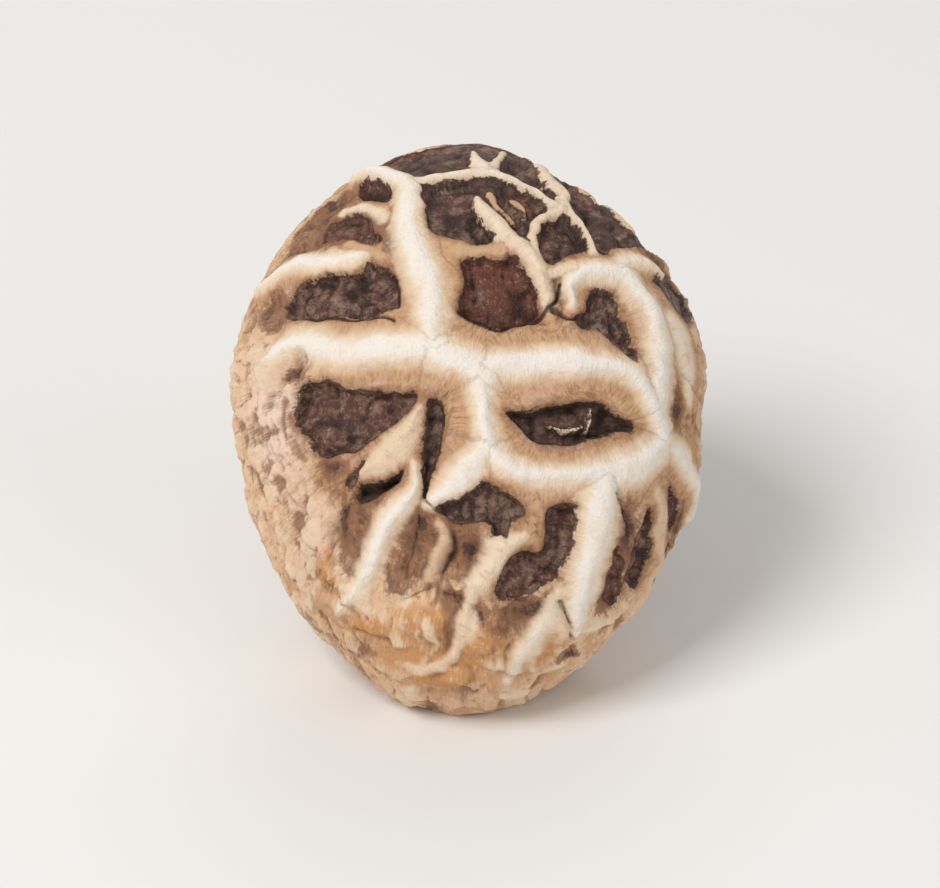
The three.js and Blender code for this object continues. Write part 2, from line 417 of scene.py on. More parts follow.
RIBS: tuple[Rib, ...] = (
    # The middle, and the two level arms.
    Rib([(-4.3, 1.8), (-2.2, 1.3), (0, 0.4), (1.2, -0.6)], (2.6, 2.8, 3.0), 1.2),
    Rib([(-3.3, 1.9), (-6, 1.75), (-9, 1.9), (-12, 1.9), (-14.1, 2.8), (-14.9, 3.4), (-16.8, 3.1),
         (-18.4, 2.2)], (2.8, 2.7, 2.6, 2.5, 2.6, 1.8, 1.0), 1.1),
    Rib([(1, -0.1), (3, 0.3), (5, 0.4), (8, 0.8), (10, 0.9), (12.7, 0.9), (14.5, 0.5), (16, -0.8),
         (17.2, -2.4)], (2.7, 2.6, 2.4, 2.2, 2.0, 2.0, 2.2), 1.1),
    # The high arm and what branches from it.
    Rib([(-3.3, 1.9), (-3.5, 4.3), (-3.6, 6.2), (-3.9, 8.1), (-4.7, 10.4), (-5.4, 12.4), (-5.9, 14.7),
         (-5.85, 16.9), (-5.9, 18.7), (-7.2, 20.1), (-8.6, 20.9), (-10.5, 20.8)],
        (1.6, 2.5, 2.6, 2.7, 2.6, 2.2, 2.0, 1.8, 1.2), 1.1),
    Rib([(-9.8, 11.3), (-11.5, 11.2), (-13.8, 11.4), (-15.6, 11.7), (-17.1, 11.2), (-18.3, 10.4),
         (-19.4, 9.8)], (0.9, 1.9, 2.1, 1.9, 1.6, 1.2, 0.8), 0.9),
    Rib([(-11.7, 17.1), (-10, 16.8), (-8.3, 15.6)], (0.7, 0.9, 0.9), 0.5, 0.6),
    Rib([(-11.4, 13.1), (-9.8, 12.2), (-8.1, 11.3)], (0.4, 0.6, 0.5), 0.4, 0.1),
    Rib([(-5.9, 18.9), (-4, 19.2), (-2, 19.5), (0.1, 19.8), (1.3, 20.1), (2.8, 19.6), (4.3, 18.9),
         (5.8, 18), (7.3, 16.6), (8.2, 16.2)], (1.3, 1.0, 1.1, 1.4, 0.9, 0.7, 0.9), 0.6, 0.75),
    Rib([(1.3, 20.3), (0.6, 21.3), (0.0, 22.4)], (1.6, 1.2, 0.6), 0.5, 0.7),
    Rib([(1.3, 20.3), (2.3, 21.6), (3, 23)], (1.2, 0.6, 0.4), 0.4, 0.5),
    Rib([(-1.1, 11.5), (0.8, 11.5), (2.6, 11.7)], (0.8, 0.8, 0.8), 0.4, 0.1),
    # The high right.
    Rib([(0.6, 16.6), (1.0, 15.8), (1.9, 14.3), (3.1, 13.1), (4.6, 11.8), (5.7, 10.8), (6.3, 9.6),
         (6.6, 8.2), (7.0, 6.9), (7.4, 5.9)], (0.9, 1.7, 1.7, 1.4, 1.3, 1.2, 0.8, 0.5), 0.9, 0.5),
    Rib([(1.8, 17.4), (2.6, 16.0), (3.9, 14.6)], (0.3, 0.5, 0.3), 0.3, 0.1),
    Rib([(6.3, 21.6), (7, 20.2), (8, 18.8), (8.6, 18), (8.3, 17.2), (8.8, 16), (10, 14.9), (10.8, 13.6),
         (11.3, 12.1)], (1.0, 1.2, 1.2, 0.8, 0.6, 0.5, 0.5), 0.5, 0.5),
    Rib([(8.0, 16.4), (7.3, 15.7), (6.2, 14.6), (5.9, 13.2), (6.2, 11.7)], (1.4, 0.8, 0.7, 0.6), 0.4, 0.4),
    Rib([(12.4, 18.6), (13.6, 17.0), (14.8, 15.4)], (0.3, 0.8, 0.3), 0.3, 0.3),
    Rib([(9.2, 20.8), (10.6, 19.6), (11.8, 17.8)], (0.3, 0.6, 0.2), 0.3, 0.2),
    Rib([(3.6, 16.9), (4.6, 16.0), (5.1, 14.8)], (0.2, 0.5, 0.2), 0.2, 0.1),
    Rib([(6.7, 9.3), (7.6, 9.6), (8.6, 9.8), (9.4, 9.9)], (0.8, 0.7, 1.0), 0.4, 0.4),
    Rib([(9.1, 6.2), (8.8, 7.8), (9.4, 9), (10.6, 9.7), (12.1, 9.9), (13.6, 10), (14.6, 9.5), (15.4, 8.2),
         (16.4, 6.8), (17, 5), (17.2, 2.7), (17.4, 0.2), (17.3, -2.5), (17.7, -5.3)],
        (0.8, 1.4, 1.8, 2.0, 2.2, 2.6, 2.6, 2.4, 2.2, 2.2, 2.3), 1.0),
    Rib([(13.8, 10.4), (14.6, 11.6), (16.2, 11.8), (17.6, 11)], (1.6, 1.4, 0.8), 0.6, 0.75),
    Rib([(18.2, 6.6), (19.2, 5.1), (19.8, 3.4), (20.2, 1.4), (20.4, -0.8)], (1.4, 3.0, 2.8, 1.6, 0.8), 0.5,
        0.6),
    Rib([(17.6, -5.3), (19.2, -5.8), (20.4, -7.0), (20.8, -8.6), (20.4, -10.4)], (2.2, 2.2, 1.8, 1.0), 0.8,
        0.9),
    # The low arm, the ring under the level right arm, and the two long runs to the low edge.
    Rib([(0.8, -0.6), (1.2, -2.4), (1.3, -4.4), (1.5, -6), (1.7, -7.1)], (2.2, 1.9, 1.8, 1.9), 1.1),
    Rib([(1.6, -7.0), (0.0, -9.0), (-1.7, -10.8), (-3.2, -12.1)], (1.8, 2.2, 2.3, 1.4), 1.0),
    Rib([(1.7, -7.1), (3.6, -9.1), (6.1, -9.7), (8.5, -9.6), (10.9, -9.3), (13.3, -8.8), (15.1, -8.0),
         (16.8, -6.6), (17.8, -5.3)], (1.7, 1.6, 1.8, 2.0, 2.4, 2.8, 2.8, 2.6), 1.1),
    Rib([(12.2, -9.3), (11.7, -11.3), (11.3, -13.6), (10.8, -15.9), (10.2, -18.1), (9.6, -20.2),
         (9.2, -22.6)], (2.6, 3.0, 3.1, 3.0, 2.8, 2.2, 0.5), 1.2),
    Rib([(8, -19.4), (7.4, -21.5), (6.1, -23.4), (4.7, -25.2), (3.4, -26.8)], (0.4, 1.6, 1.9, 1.5, 0.8),
        0.6, 0.7),
    Rib([(-4.4, -3.6), (-5.2, -5.4), (-6.4, -7.1), (-8, -8.4), (-9.6, -9.3)], (0.3, 1.2, 1.8, 1.5, 0.6),
        0.9, 0.35),
    Rib([(-5.1, -8.6), (-4.9, -10.3), (-6, -12.2), (-7.4, -14), (-8.4, -15.9), (-9.3, -17.8),
         (-10.3, -19.5), (-11.8, -20.7)], (0.4, 1.3, 1.7, 1.8, 1.6, 1.2, 0.7), 1.2),
    Rib([(4.6, -15.1), (2.9, -16), (1.6, -17.5), (0.5, -19.4), (0.1, -20.6)], (0.6, 1.5, 1.6, 1.3, 0.6),
        0.7, 0.5),
    Rib([(-0.2, -21), (-0.1, -22.4), (-0.6, -24), (-1.6, -25.4)], (0.5, 1.6, 1.0, 0.6), 0.6, 0.35),
    Rib([(-2.8, -14.4), (-2.4, -15.7), (-2.9, -17.4), (-3.9, -18.8)], (0.5, 0.7, 0.8, 0.5), 0.4, 0.2),
    Rib([(17.1, -9.9), (17.6, -11.4), (17.3, -13.2), (17.5, -15), (16.6, -16.6), (16.2, -18.4),
         (14.8, -20.3)], (0.6, 1.2, 0.7, 0.9, 0.4), 0.5, 0.25),
    Rib([(-1.6, -25.2), (-3.6, -26.2), (-5.6, -25.8)], (0.8, 0.9, 0.5), 0.4, 0.3),
    Rib([(10.4, -21.9), (11.6, -21.4), (12.8, -20.6)], (1.0, 1.3, 0.6), 0.6, 0.5),
    # Two threads of flesh left standing in the long scale.
    Rib([(10.4, -5.6), (10.9, -4.6), (11.1, -3.5)], (0.25, 0.4, 0.25), 0.5, 0.7),
    Rib([(7.2, -4.9), (8.6, -5.2), (10.2, -5.1)], (0.2, 0.35, 0.3), 0.4, 0.5),
)

SCALES: tuple[Scale, ...] = (
    # Left of the high arm.
    Scale([(-15.6, 9.3), (-12.9, 9.7), (-10.3, 9.8), (-9.9, 10.7), (-8.4, 10.6), (-7.2, 9.7), (-6.5, 8.2),
           (-6.6, 6.3), (-8.3, 5.1), (-11, 5.2), (-13.8, 5.5), (-16.4, 5.9), (-17.2, 7.4)], 1.1, 0.2),
    Scale([(-10.8, 18.3), (-9.9, 20.3), (-7.8, 19.8), (-7.3, 18.9), (-7.6, 17.3), (-8.7, 17.6)], 0.7, 0.6),
    Scale([(-6.2, 21.2), (-4.8, 19.9), (-3.3, 20.2), (-0.6, 20.7), (0.3, 21.5), (-0.4, 22.8), (-2, 24.6),
           (-5.5, 24.9), (-8.2, 23.6), (-7.6, 22)], 0.7, 0.3),
    Scale([(-14.1, 14.1), (-12.9, 16), (-10.8, 16.4), (-9.6, 15.3), (-8.3, 13.2), (-9.6, 12.9),
           (-11.4, 13.7), (-13.2, 13.7)], 0.7, 0.5),
    # Right of it.
    Scale([(-3.6, 18.6), (-1.5, 19), (0.4, 18.8), (1.1, 17.4), (0.3, 16.2), (1.0, 14.8), (2.2, 13.2),
           (1.8, 12.3), (0, 12.2), (-2.1, 12.9), (-3.6, 13.9), (-4.2, 15.7), (-4.1, 17.3)], 1.0, 0.15),
    Scale([(-1.1, 10.7), (2.8, 10.9), (4.2, 10.6), (5.4, 9.6), (5.9, 8.2), (6.2, 6.6), (6.4, 5.2),
           (4.9, 4.8), (2.8, 4.3), (1.0, 4.8), (-0.8, 5.2), (-1.0, 6.8), (-0.6, 8.6)], 1.2, 0.85),
    Scale([(6.4, 13.6), (7.3, 15.1), (8.7, 15.3), (9.8, 14.8), (10.5, 13.2), (10.2, 12.0), (8.8, 11.4),
           (7.9, 10.4), (7.0, 10.8), (6.5, 12.2)], 1.0, 0.25),
    Scale([(2.2, 18.4), (3.9, 18.4), (5.5, 17.8), (6.5, 16.8), (6.8, 15.9), (5.6, 15.0), (5.3, 13.3),
           (4.2, 13.6), (3.2, 14.9), (2.4, 16.6)], 0.8, 0.35),
    Scale([(2.5, 20.6), (3.6, 22.2), (5.4, 22), (6.6, 20.4), (7.4, 18.9), (6.6, 18.3), (5, 19.2),
           (3.1, 20.1)], 0.7, 0.3),
    Scale([(16.8, 10.6), (18.1, 12.1), (19.9, 11.6), (20.8, 10), (20.8, 8), (20, 7.3), (19, 8),
           (17.6, 9.6)], 0.8, 0.15),
    Scale([(10.6, 14.9), (11.6, 16.6), (13.9, 16), (15.3, 14.5), (14.7, 13.2), (13.3, 12.8), (12.7, 12.0),
           (11.7, 12.2)], 0.8, 0.2),
    Scale([(8.9, 18.2), (8.2, 20.2), (9.9, 20.6), (12, 18.9), (12.9, 17.2), (11.2, 16.6), (10, 16.0),
           (9.2, 17)], 0.6, 0.45),
    Scale([(11.2, 8.2), (12.4, 8.4), (13.6, 7.7), (14.2, 6), (14.7, 4.1), (15.2, 1.6), (13.9, 2.6),
           (12.7, 3.6), (11.6, 4.4), (10.3, 4.1), (9.6, 5.2), (10.3, 5.7), (10.9, 6.5)], 1.0, 0.15),
    # Below the level arms.
    Scale([(-15.2, -0.7), (-12.9, -0.5), (-10.2, -1.5), (-7, -2.3), (-4.7, -2.2), (-4.8, -3.2), (-6, -4.5),
           (-7.8, -5.9), (-9.9, -7.1), (-11.7, -7.5), (-13, -8), (-14.2, -7.5), (-14.6, -6), (-15.9, -4),
           (-15.5, -2.2)], 1.2, 0.3),
    Scale([(3.3, -4), (5.2, -4.0), (7.3, -3.3), (10, -2.8), (12.1, -2.8), (13.9, -3.6), (15.3, -4.7),
           (14.6, -5.4), (13, -5.4), (11.5, -6), (9.1, -6.6), (6.3, -6.9), (4.6, -5.9)], 1.4, 0.05),
    Scale([(-6.0, -9.1), (-7.5, -9.8), (-9.3, -10.3), (-10.4, -10.9), (-10.1, -12.0), (-8.5, -11.7),
           (-7.0, -10.6)], 1.2, 0.0),
    Scale([(-9.2, -8.0), (-9.9, -8.7), (-11.4, -10), (-10.8, -10.6), (-9.9, -9.9)], 0.7, 0.2),
    Scale([(-3.9, -2.9), (-2.5, -3.0), (-2.2, -4.9), (-2.7, -7.3), (-3.3, -9.1), (-3.7, -11.4),
           (-4.1, -11.6), (-4.4, -9.4), (-4.4, -7.5), (-3.9, -5.5)], 1.1, 0.1),
    Scale([(-2.9, -12.5), (-1.1, -11.9), (0.4, -10.9), (1.6, -10.1), (2.9, -11.1), (4.4, -12.6),
           (4.7, -13.4), (3.6, -14.1), (2.9, -15.8), (2.1, -15.7), (2, -14.4), (0.1, -14), (-1.5, -14.2)],
          1.1, 0.15),
    Scale([(7, -12.4), (9.4, -12.3), (9.2, -14.6), (8.6, -17), (7.6, -18.7), (6.6, -19.7), (4.4, -20.9),
           (2.6, -20.5), (2.3, -19.3), (3.1, -17.6), (4.6, -16.4), (6.3, -16.2), (6.7, -14.6)], 0.9, 0.3),
    Scale([(16.5, -11.5), (16.6, -13.6), (16.3, -15.6), (15.3, -18), (14.4, -17.7), (14.5, -15.6),
           (15.1, -13.7), (15.7, -12.1)], 0.7, 0.3),
    Scale([(18.5, -8.9), (19.3, -9.9), (19.0, -11.8), (18.3, -12.4), (18.1, -10.6)], 0.6, 0.7),
    Scale([(18.6, -13.0), (18.8, -14.4), (17.6, -16.6), (17.2, -15.8), (17.9, -14.4)], 0.5, 0.4),
    Scale([(12.9, -15.4), (13.9, -16.4), (14.0, -18.6), (12.7, -20.0), (11.9, -19.8), (12.1, -18.4),
           (12.7, -17.0)], 0.4, 0.7),
)

CREVICES: tuple[Crevice, ...] = (
    Crevice([(-1.0, 5.3), (1.0, 4.7), (2.8, 4.2), (4.9, 4.7), (6.5, 5.0)], 0.7, 1.0),
    Crevice([(-15.9, 5.9), (-12, 5.1), (-8.3, 5.0), (-6.6, 4.3)], 0.45, 0.6, 0.9),
    Crevice([(-15.0, 1.9), (-15.6, 1.0), (-16.6, -0.2), (-17.6, -1.2)], 0.8, 0.6, 0.55),
    Crevice([(8.1, -20.2), (8.6, -21.4), (9.0, -22.8)], 0.6, 0.6, 0.75),
    Crevice([(18.9, 2.0), (20, 1.4), (21.3, 0.4)], 0.5, 0.5, 0.4),
    Crevice([(13.2, -10.6), (13.9, -12.4), (14.1, -14.2)], 0.5, 0.5, 0.6),
    Crevice([(-6.6, 6.2), (-6.4, 7.6), (-7.0, 9.4)], 0.5, 0.6),
    Crevice([(6.6, 5.1), (7.3, 6.0), (7.9, 7.2), (8.1, 8.4)], 0.5, 0.6, 0.9),
    Crevice([(7.4, 6.2), (8.2, 5.4), (8.9, 4.9), (9.8, 5.0)], 0.5, 0.6, 0.95),
    Crevice([(-10.4, -11.3), (-8.7, -11.0), (-6.9, -9.9)], 0.6, 0.5, 0.8),
    Crevice([(-5.7, -17.6), (-4.9, -15.6), (-4.6, -13.6)], 0.5, 0.4, 0.6),
    Crevice([(-1.4, -15.0), (-1.7, -16.8), (-2.4, -18.4)], 0.5, 0.5, 0.7),
    Crevice([(0.6, -16.0), (-0.4, -17.6)], 0.6, 0.4, 0.6),
    Crevice([(-10.6, -11.0), (-11.6, -12.6), (-12.8, -14.4), (-12.7, -16.4)], 1.0, 0.6, 0.5),
    Crevice([(-3.9, -11.8), (-2.9, -13.0), (-1.6, -13.8)], 0.4, 0.5, 0.8),
    Crevice([(-6.4, -20.6), (-5.0, -20.0), (-3.6, -19.9)], 0.5, 0.5, 0.5),
    Crevice([(-2.6, -20.2), (-1.2, -20.7), (-0.4, -21.6)], 0.5, 0.6, 0.6),
    Crevice([(-18.6, -4.2), (-18.2, -6.2), (-17.4, -7.8)], 0.4, 0.4, 0.5),
    Crevice([(-17.4, -9.2), (-16.2, -11.2), (-14.9, -12.4)], 0.4, 0.4, 0.5),
    Crevice([(-16.6, -13.2), (-15.2, -14.6), (-13.8, -15.4)], 0.4, 0.5, 0.5),
    Crevice([(-14.2, -9.4), (-13.2, -10.8), (-12.6, -12.2)], 0.4, 0.4, 0.5),
    Crevice([(-12.2, -19.4), (-10.6, -20.8), (-9.6, -22.2)], 0.4, 0.4, 0.5),
    Crevice([(-7.6, -23.6), (-10.4, -22.4)], 0.6, 0.5, 0.45),
    Crevice([(2.6, -26.4), (5.6, -26.2), (7.6, -25.0)], 0.6, 0.5, 0.45),
)

BLUSHES: dict[Hue, tuple[Blush, ...]] = {
    # The lumps of the low edge.
    Hue.AMBER: (
        Blush((-3.8, -22.3), 3.2, 1.9, 1.1),
        Blush((1.9, -23.6), 2.1, 2.3, 1.0),
        Blush((-2.6, -26.8), 3.8, 1.6, 0.7),
        Blush((-9.2, -22.4), 2.2, 1.4, 0.5),
        Blush((-12.8, -17.2), 1.4, 2.2, 0.5),
        Blush((6.6, -24.4), 1.4, 2.0),
        Blush((-5.4, -17.7), 0.8, 0.9, 0.5),
        Blush((-1.6, -25.0), 12.0, 5.5, 0.0, 0.62),
    ),
    # Painted light: the left made paler, as where the light falls on it.
    Hue.BLOOM: (
        Blush((-18.0, -3.0), 5.0, 8.0),
        Blush((-15.0, -13.0), 3.4, 4.4, 0.0, 0.8),
        Blush((-12.6, -6.9), 1.6, 1.0, 0.3),
    ),
    # Leathery skin left between the low ribs, and on the high left, where it is partly painted shade.
    Hue.UMBER: (
        Blush((-1.3, -16.4), 3.2, 3.6),
        Blush((-4.4, -15.6), 2.4, 3.8),
        Blush((-6.6, -18.2), 1.6, 2.4),
        Blush((4.4, -22.2), 2.8, 2.0),
        Blush((-10.4, -14.8), 2.0, 4.2),
        # This patch is partly painted shade, darkening the high left.
        Blush((-14.6, 15.6), 4.4, 4.6),
        Blush((-18.2, 7.2), 2.4, 2.6),
    ),
    # Brown stains, from the low side up to the high one. The ones marked below are painted shade.
    Hue.STAIN_AND_SHADE: (
        Blush((8.9, -24.2), 1.6, 1.2),
        Blush((0.9, -21.8), 0.9, 1.4),
        Blush((5.6, -21.4), 2.8, 1.5),
        Blush((-1.4, -20.4), 1.6, 0.8),
        Blush((12.0, -19.4), 1.5, 2.8),
        Blush((17.2, -17.0), 1.8, 3.4),
        Blush((-0.2, -16.6), 1.4, 1.6),
        Blush((-4.4, -14.2), 1.0, 1.8),
        # Painted shade on the flank right of the long right rib down to the low edge.
        Blush((14.0, -14.2), 1.3, 5.4),
        Blush((-11.4, -13.2), 1.0, 2.8),
        Blush((-8.6, -11.6), 1.8, 1.2),
        Blush((19.2, -11.6), 1.5, 3.4),
        Blush((-12.6, -8.6), 2.2, 1.0),
        Blush((19.2, -2.0), 1.3, 2.8),
        Blush((-15.6, 0.4), 1.4, 1.0),
        Blush((7.6, 7.6), 1.3, 2.0),
        Blush((0.9, 11.6), 2.2, 0.9),
        Blush((17.2, 12.6), 2.6, 1.6),
        Blush((-7.2, 13.0), 1.2, 2.6),
        Blush((8.2, 13.6), 3.0, 3.2),
        # Painted shade on the high left.
        Blush((-11.2, 14.8), 4.8, 2.4),
        Blush((4.8, 16.6), 3.2, 2.6),
        Blush((11.6, 16.8), 3.6, 3.0),
        # Painted shade on the high left.
        Blush((-12.6, 18.4), 3.0, 2.2),
    ),
}


@dataclass
class Cracking:
    """The whole pattern of the cap's skin: the ribs, scales, crevices and blushes drawn over the dome, and a
    network of cells that carries them on over the rim to the lip, all measured on the laid-out skin.

    The named numbers are millimetres or shares. The arrays that measure() fills are the signed distance out
    of the ribs (crest), the same in shares of their width (flank), the ribs' paleness and rise, where their
    torn flesh is read (tear), the signed distance into the scales (scale), their sink and tone, the painted
    shade of the crevices and their depth (crevice, notch), and the share of each hue.
    """

    form: CapForm
    route_steps: int = 3
    clear: float = 9.0
    plain_tone: float = 0.3
    crest_spread: float = 0.95
    shoulder: float = 1.0
    shoulder_spread: float = 1.25
    flank_extra: float = 0.35
    tear_out: float = 0.12
    tear_drift: float = 0.25
    tear_step: float = 7.0
    scale_wall: Ramp = Ramp(-0.25, 0.4)
    scale_crown: Ramp = Ramp(0.4, 2.2, 0.35)
    scale_over_rib: float = 0.05
    crown_skin_gap: float = 0.15
    crown_skin_wall: Ramp = Ramp(-0.2, 0.45, 0.35)
    crevice_taper: float = 0.5
    crevice_spread: float = 1.4
    swell: Ramp = Ramp(1.3, 0.5)
    cell_count: int = 120
    cell_seed: int = 5
    cell_start: float = 0.6
    cell_reach: float = 1.25
    cell_tones: Range = (0.1, 0.85)
    cell_paleness: float = 0.5
    cell_rib: float = 0.6
    cell_rise: float = 0.35
    cell_rise_spread: float = 0.7
    cell_wall: Ramp = Ramp(-0.2, 0.45, 0.6)
    crest: np.ndarray = field(init=False)
    flank: np.ndarray = field(init=False)
    paleness: np.ndarray = field(init=False)
    rise: np.ndarray = field(init=False)
    tear: np.ndarray = field(init=False)
    scale: np.ndarray = field(init=False)
    sink: np.ndarray = field(init=False)
    tone: np.ndarray = field(init=False)
    crevice: np.ndarray = field(init=False)
    notch: np.ndarray = field(init=False)
    hues: dict[Hue, np.ndarray] = field(init=False)

    def measure(self, flat: np.ndarray, rim: np.ndarray, crack: np.ndarray, crown_skin: np.ndarray) -> None:
        """Measures the pattern at points of the laid-out skin, into the fields.

        Args:
            flat: Points of the laid-out skin, two numbers each.
            rim: 0 where the drawn pattern holds, 1 where the network of cells does.
            crack: Half the width of the cracks between the cells.
            crown_skin: The signed distance into the high rim, where all between the ribs is dark skin.
        """
        shape = flat.shape[:-1]
        self.crest, self.flank = np.full(shape, self.clear), np.full(shape, self.clear)
        self.paleness, self.rise = np.ones(shape), np.zeros(shape)
        self.tear = np.zeros(shape + (3,))
        for number, rib in enumerate(RIBS):
            self._add_rib(rib, number, flat)
        self.scale, self.sink = np.full(shape, -self.clear), np.zeros(shape)
        self.tone = np.full(shape, self.plain_tone)
        for scale in SCALES:
            self._add_scale(scale, flat)
        self._add_crown_skin(crown_skin)
        self.scale = np.minimum(self.scale, self.crest + self.scale_over_rib)
        self.crevice, self.notch = np.zeros(shape), np.zeros(shape)
        for crevice in CREVICES:
            widths = (crevice.width, self.crevice_taper * crevice.width)
            away, half, _ = self._along(self._route(crevice.route), widths, flat)
            mark = bell(away / half, self.crevice_spread)
            self.crevice = np.maximum(self.crevice, crevice.painted_shade * mark)
            self.notch = np.maximum(self.notch, crevice.depth * mark)
        self.hues = {hue: self._add_blushes(blushes, flat) for hue, blushes in BLUSHES.items()}
        self._add_cells(flat, rim, crack)

    def _route(self, points: Route) -> np.ndarray:
        """A drawn route, laid out flat and smoothed."""
        return smooth_route(self.form.spread_plan(points), self.route_steps, closed=False)

    @staticmethod
    def _along(route: np.ndarray, widths: Sequence[float], flat: np.ndarray) -> tuple[np.ndarray, ...]:
        """How each point lies to a route.

        Args:
            route: The route's points on the laid-out skin.
            widths: Its widths, spaced evenly from its start to its end.
            flat: The points to measure.

        Returns:
            The distance to the route, its half-width at the nearest place, and how far along it that is.
        """
        lengths = np.concatenate([[0], np.cumsum(np.linalg.norm(np.diff(route, axis=0), axis=1))])
        halves = np.interp(lengths / lengths[-1], np.linspace(0, 1, len(widths)), np.array(widths) / 2)
        shape = flat.shape[:-1]
        best = away = np.full(shape, FAR)
        half, run = np.full(shape, halves[0]), np.zeros(shape)
        for span, (a, b) in enumerate(zip(route[:-1], route[1:])):
            distance, t = to_piece(flat, a, b)
            width = halves[span] + t * (halves[span + 1] - halves[span])
            nearer = distance - width < best
            best = np.where(nearer, distance - width, best)
            away = np.where(nearer, distance, away)
            half = np.where(nearer, width, half)
            run = np.where(nearer, lengths[span] + t * (lengths[span + 1] - lengths[span]), run)
        return away, half, run

    def _add_rib(self, rib: Rib, number: int, flat: np.ndarray) -> None:
        """Adds one rib: a round crest on wide soft shoulders. Where it is the nearest rib, the flesh is torn
        across it, so its tear changes fast along the rib and slowly away from it.

        Args:
            rib: The rib.
            number: Its place in the list, which sets its tears apart from the others'.
            flat: Points of the laid-out skin.
        """
        away, half, run = self._along(self._route(rib.route), rib.widths, flat)
        crest = bell(away / half, self.crest_spread)
        shoulder = bell(away / (half + self.shoulder), self.shoulder_spread)
        self.rise = np.maximum(self.rise, rib.height * (crest + shoulder) / 2)
        nearer = away - half < self.crest
        self.paleness = np.where(nearer, rib.paleness, self.paleness)
        drift = self.tear_drift * flat
        tear = [run, self.tear_out * away + drift[..., 0], drift[..., 1] + self.tear_step * number]
        self.tear = np.where(nearer[..., None], np.stack(tear, axis=-1), self.tear)
        self.crest = np.where(nearer, away - half, self.crest)
        self.flank = np.minimum(self.flank, (away - half) / (self.flank_extra + half))

    def _add_scale(self, scale: Scale, flat: np.ndarray) -> None:
        """Adds one scale. Its signed distance is positive inside, where a line to one side crosses the
        outline an odd number of times, and its floor is slightly crowned.

        Args:
            scale: The scale.
            flat: Points of the laid-out skin.
        """
        outline = smooth_route(self.form.spread_plan(scale.outline), self.route_steps, closed=True)
        x, y = flat[..., 0], flat[..., 1]
        nearest = np.full(x.shape, FAR)
        inside = np.zeros(x.shape, bool)
        for a, b in zip(outline, np.roll(outline, -1, axis=0)):
            nearest = np.minimum(nearest, to_piece(flat, a, b)[0])
            if a[1] != b[1]:
                spans = (a[1] > y) != (b[1] > y)
                inside ^= spans & (x < a[0] + (y - a[1]) * (b - a)[0] / (b - a)[1])
        distance = np.where(inside, nearest, -nearest)
        floor = self.scale_wall(distance) * (1 - self.scale_crown(distance))
        self.sink = np.maximum(self.sink, scale.depth * floor)
        self.tone = np.where(distance > self.scale, scale.tone, self.tone)
        self.scale = np.maximum(self.scale, distance)

    def _add_crown_skin(self, crown_skin: np.ndarray) -> None:
        """Fills what is left between the ribs of the high rim with shallow skin of the darkest tone, whose
        darkness is partly painted shade.

        Args:
            crown_skin: The signed distance into the high rim.
        """
        distance = np.minimum(crown_skin, self.crest - self.crown_skin_gap)
        self.tone = np.where(distance > self.scale, 0.0, self.tone)
        self.sink = np.maximum(self.sink, self.crown_skin_wall(distance))
        self.scale = np.maximum(self.scale, distance)

    def _add_blushes(self, blushes: Sequence[Blush], flat: np.ndarray) -> np.ndarray:
        """Adds the swelling of one hue's patches, each a bell over an oval.

        Args:
            blushes: The patches.
            flat: Points of the laid-out skin.

        Returns:
            The share of the hue at each point.
        """
        share = np.zeros(flat.shape[:-1])
        for blush in blushes:
            across, up = np.moveaxis(flat - self.form.spread_plan([blush.middle])[0], -1, 0)
            out = np.hypot(across / blush.half_width, up / blush.half_height)
            share = np.maximum(share, blush.strength * bell(out, 1.0))
            self.rise = np.maximum(self.rise, blush.swell * self.swell(out))
        return share

    def _add_cells(self, flat: np.ndarray, rim: np.ndarray, crack: np.ndarray) -> None:
        """Adds the cells over the rim, with cracks of flesh between them.

        Args:
            flat: Points of the laid-out skin.
            rim: 0 where the drawn pattern holds, 1 where the cells do.
            crack: Half the width of the cracks.
        """
        rng = np.random.default_rng(self.cell_seed)
        angle = rng.uniform(0, TURN, self.cell_count)
        station = self.cell_start + self.cell_reach * rng.uniform(0, 1, self.cell_count)
        cells = Cells.about(flat, self.form.spread_out(station, angle), 1.0)
        inset, inner = cells.inset, cells.inset - crack
        tone = rng.uniform(*self.cell_tones, self.cell_count)[cells.number]
        paleness = self.cell_paleness * rng.uniform(0, 1, self.cell_count)[cells.number]

        def carried(drawn: np.ndarray, celled: np.ndarray) -> np.ndarray:
            """The drawn pattern up to the rim, and the cells' from there on."""
            return drawn * (1 - rim) + celled * rim

        self.crest = carried(self.crest, inset - self.cell_rib * crack)
        self.flank = carried(self.flank, inset / crack - self.cell_rib)
        self.paleness = carried(self.paleness, paleness)
        self.scale = carried(self.scale, inner)
        self.tone = carried(self.tone, tone)
        self.rise = carried(self.rise, self.cell_rise * crack * bell(inset, self.cell_rise_spread))
        self.sink = carried(self.sink, crack * self.cell_wall(inner))


@dataclass(frozen=True)
class Cells:
    """How points lie among cells about scattered seeds: each belongs to the nearest seed's cell."""

    number: np.ndarray
    inset: np.ndarray
    outwards: np.ndarray

    @classmethod
    def about(cls, flat: np.ndarray, seeds: np.ndarray, stretch: float) -> "Cells":
        """Finds each point's cell.

        Args:
            flat: Points of the laid-out skin.
            seeds: The seeds' places on it.
            stretch: How many times longer the cells are away from the crown than round it.

        Returns:
            For each point its cell's number, how far inside the cell it is, as half the difference between
            its distances to the two nearest seeds, and how much further from the crown it is than the seed.
        """
        reach = np.maximum(np.linalg.norm(flat, axis=-1), 1e-6)
        first = second = outwards = np.full(flat.shape[:-1], FAR)
        number = np.zeros(flat.shape[:-1], int)
        for index, seed in enumerate(seeds):
            away = flat - seed
            out = (away * flat).sum(axis=-1) / reach
            distance = np.sqrt(np.maximum((away**2).sum(axis=-1) - out**2 * (1 - 1 / stretch**2), 0))
            nearer = distance < first
            second = np.where(nearer, first, np.minimum(second, distance))
            number = np.where(nearer, index, number)
            outwards = np.where(nearer, out, outwards)
            first = np.where(nearer, distance, first)
        return cls(number, (second - first) / 2, outwards)


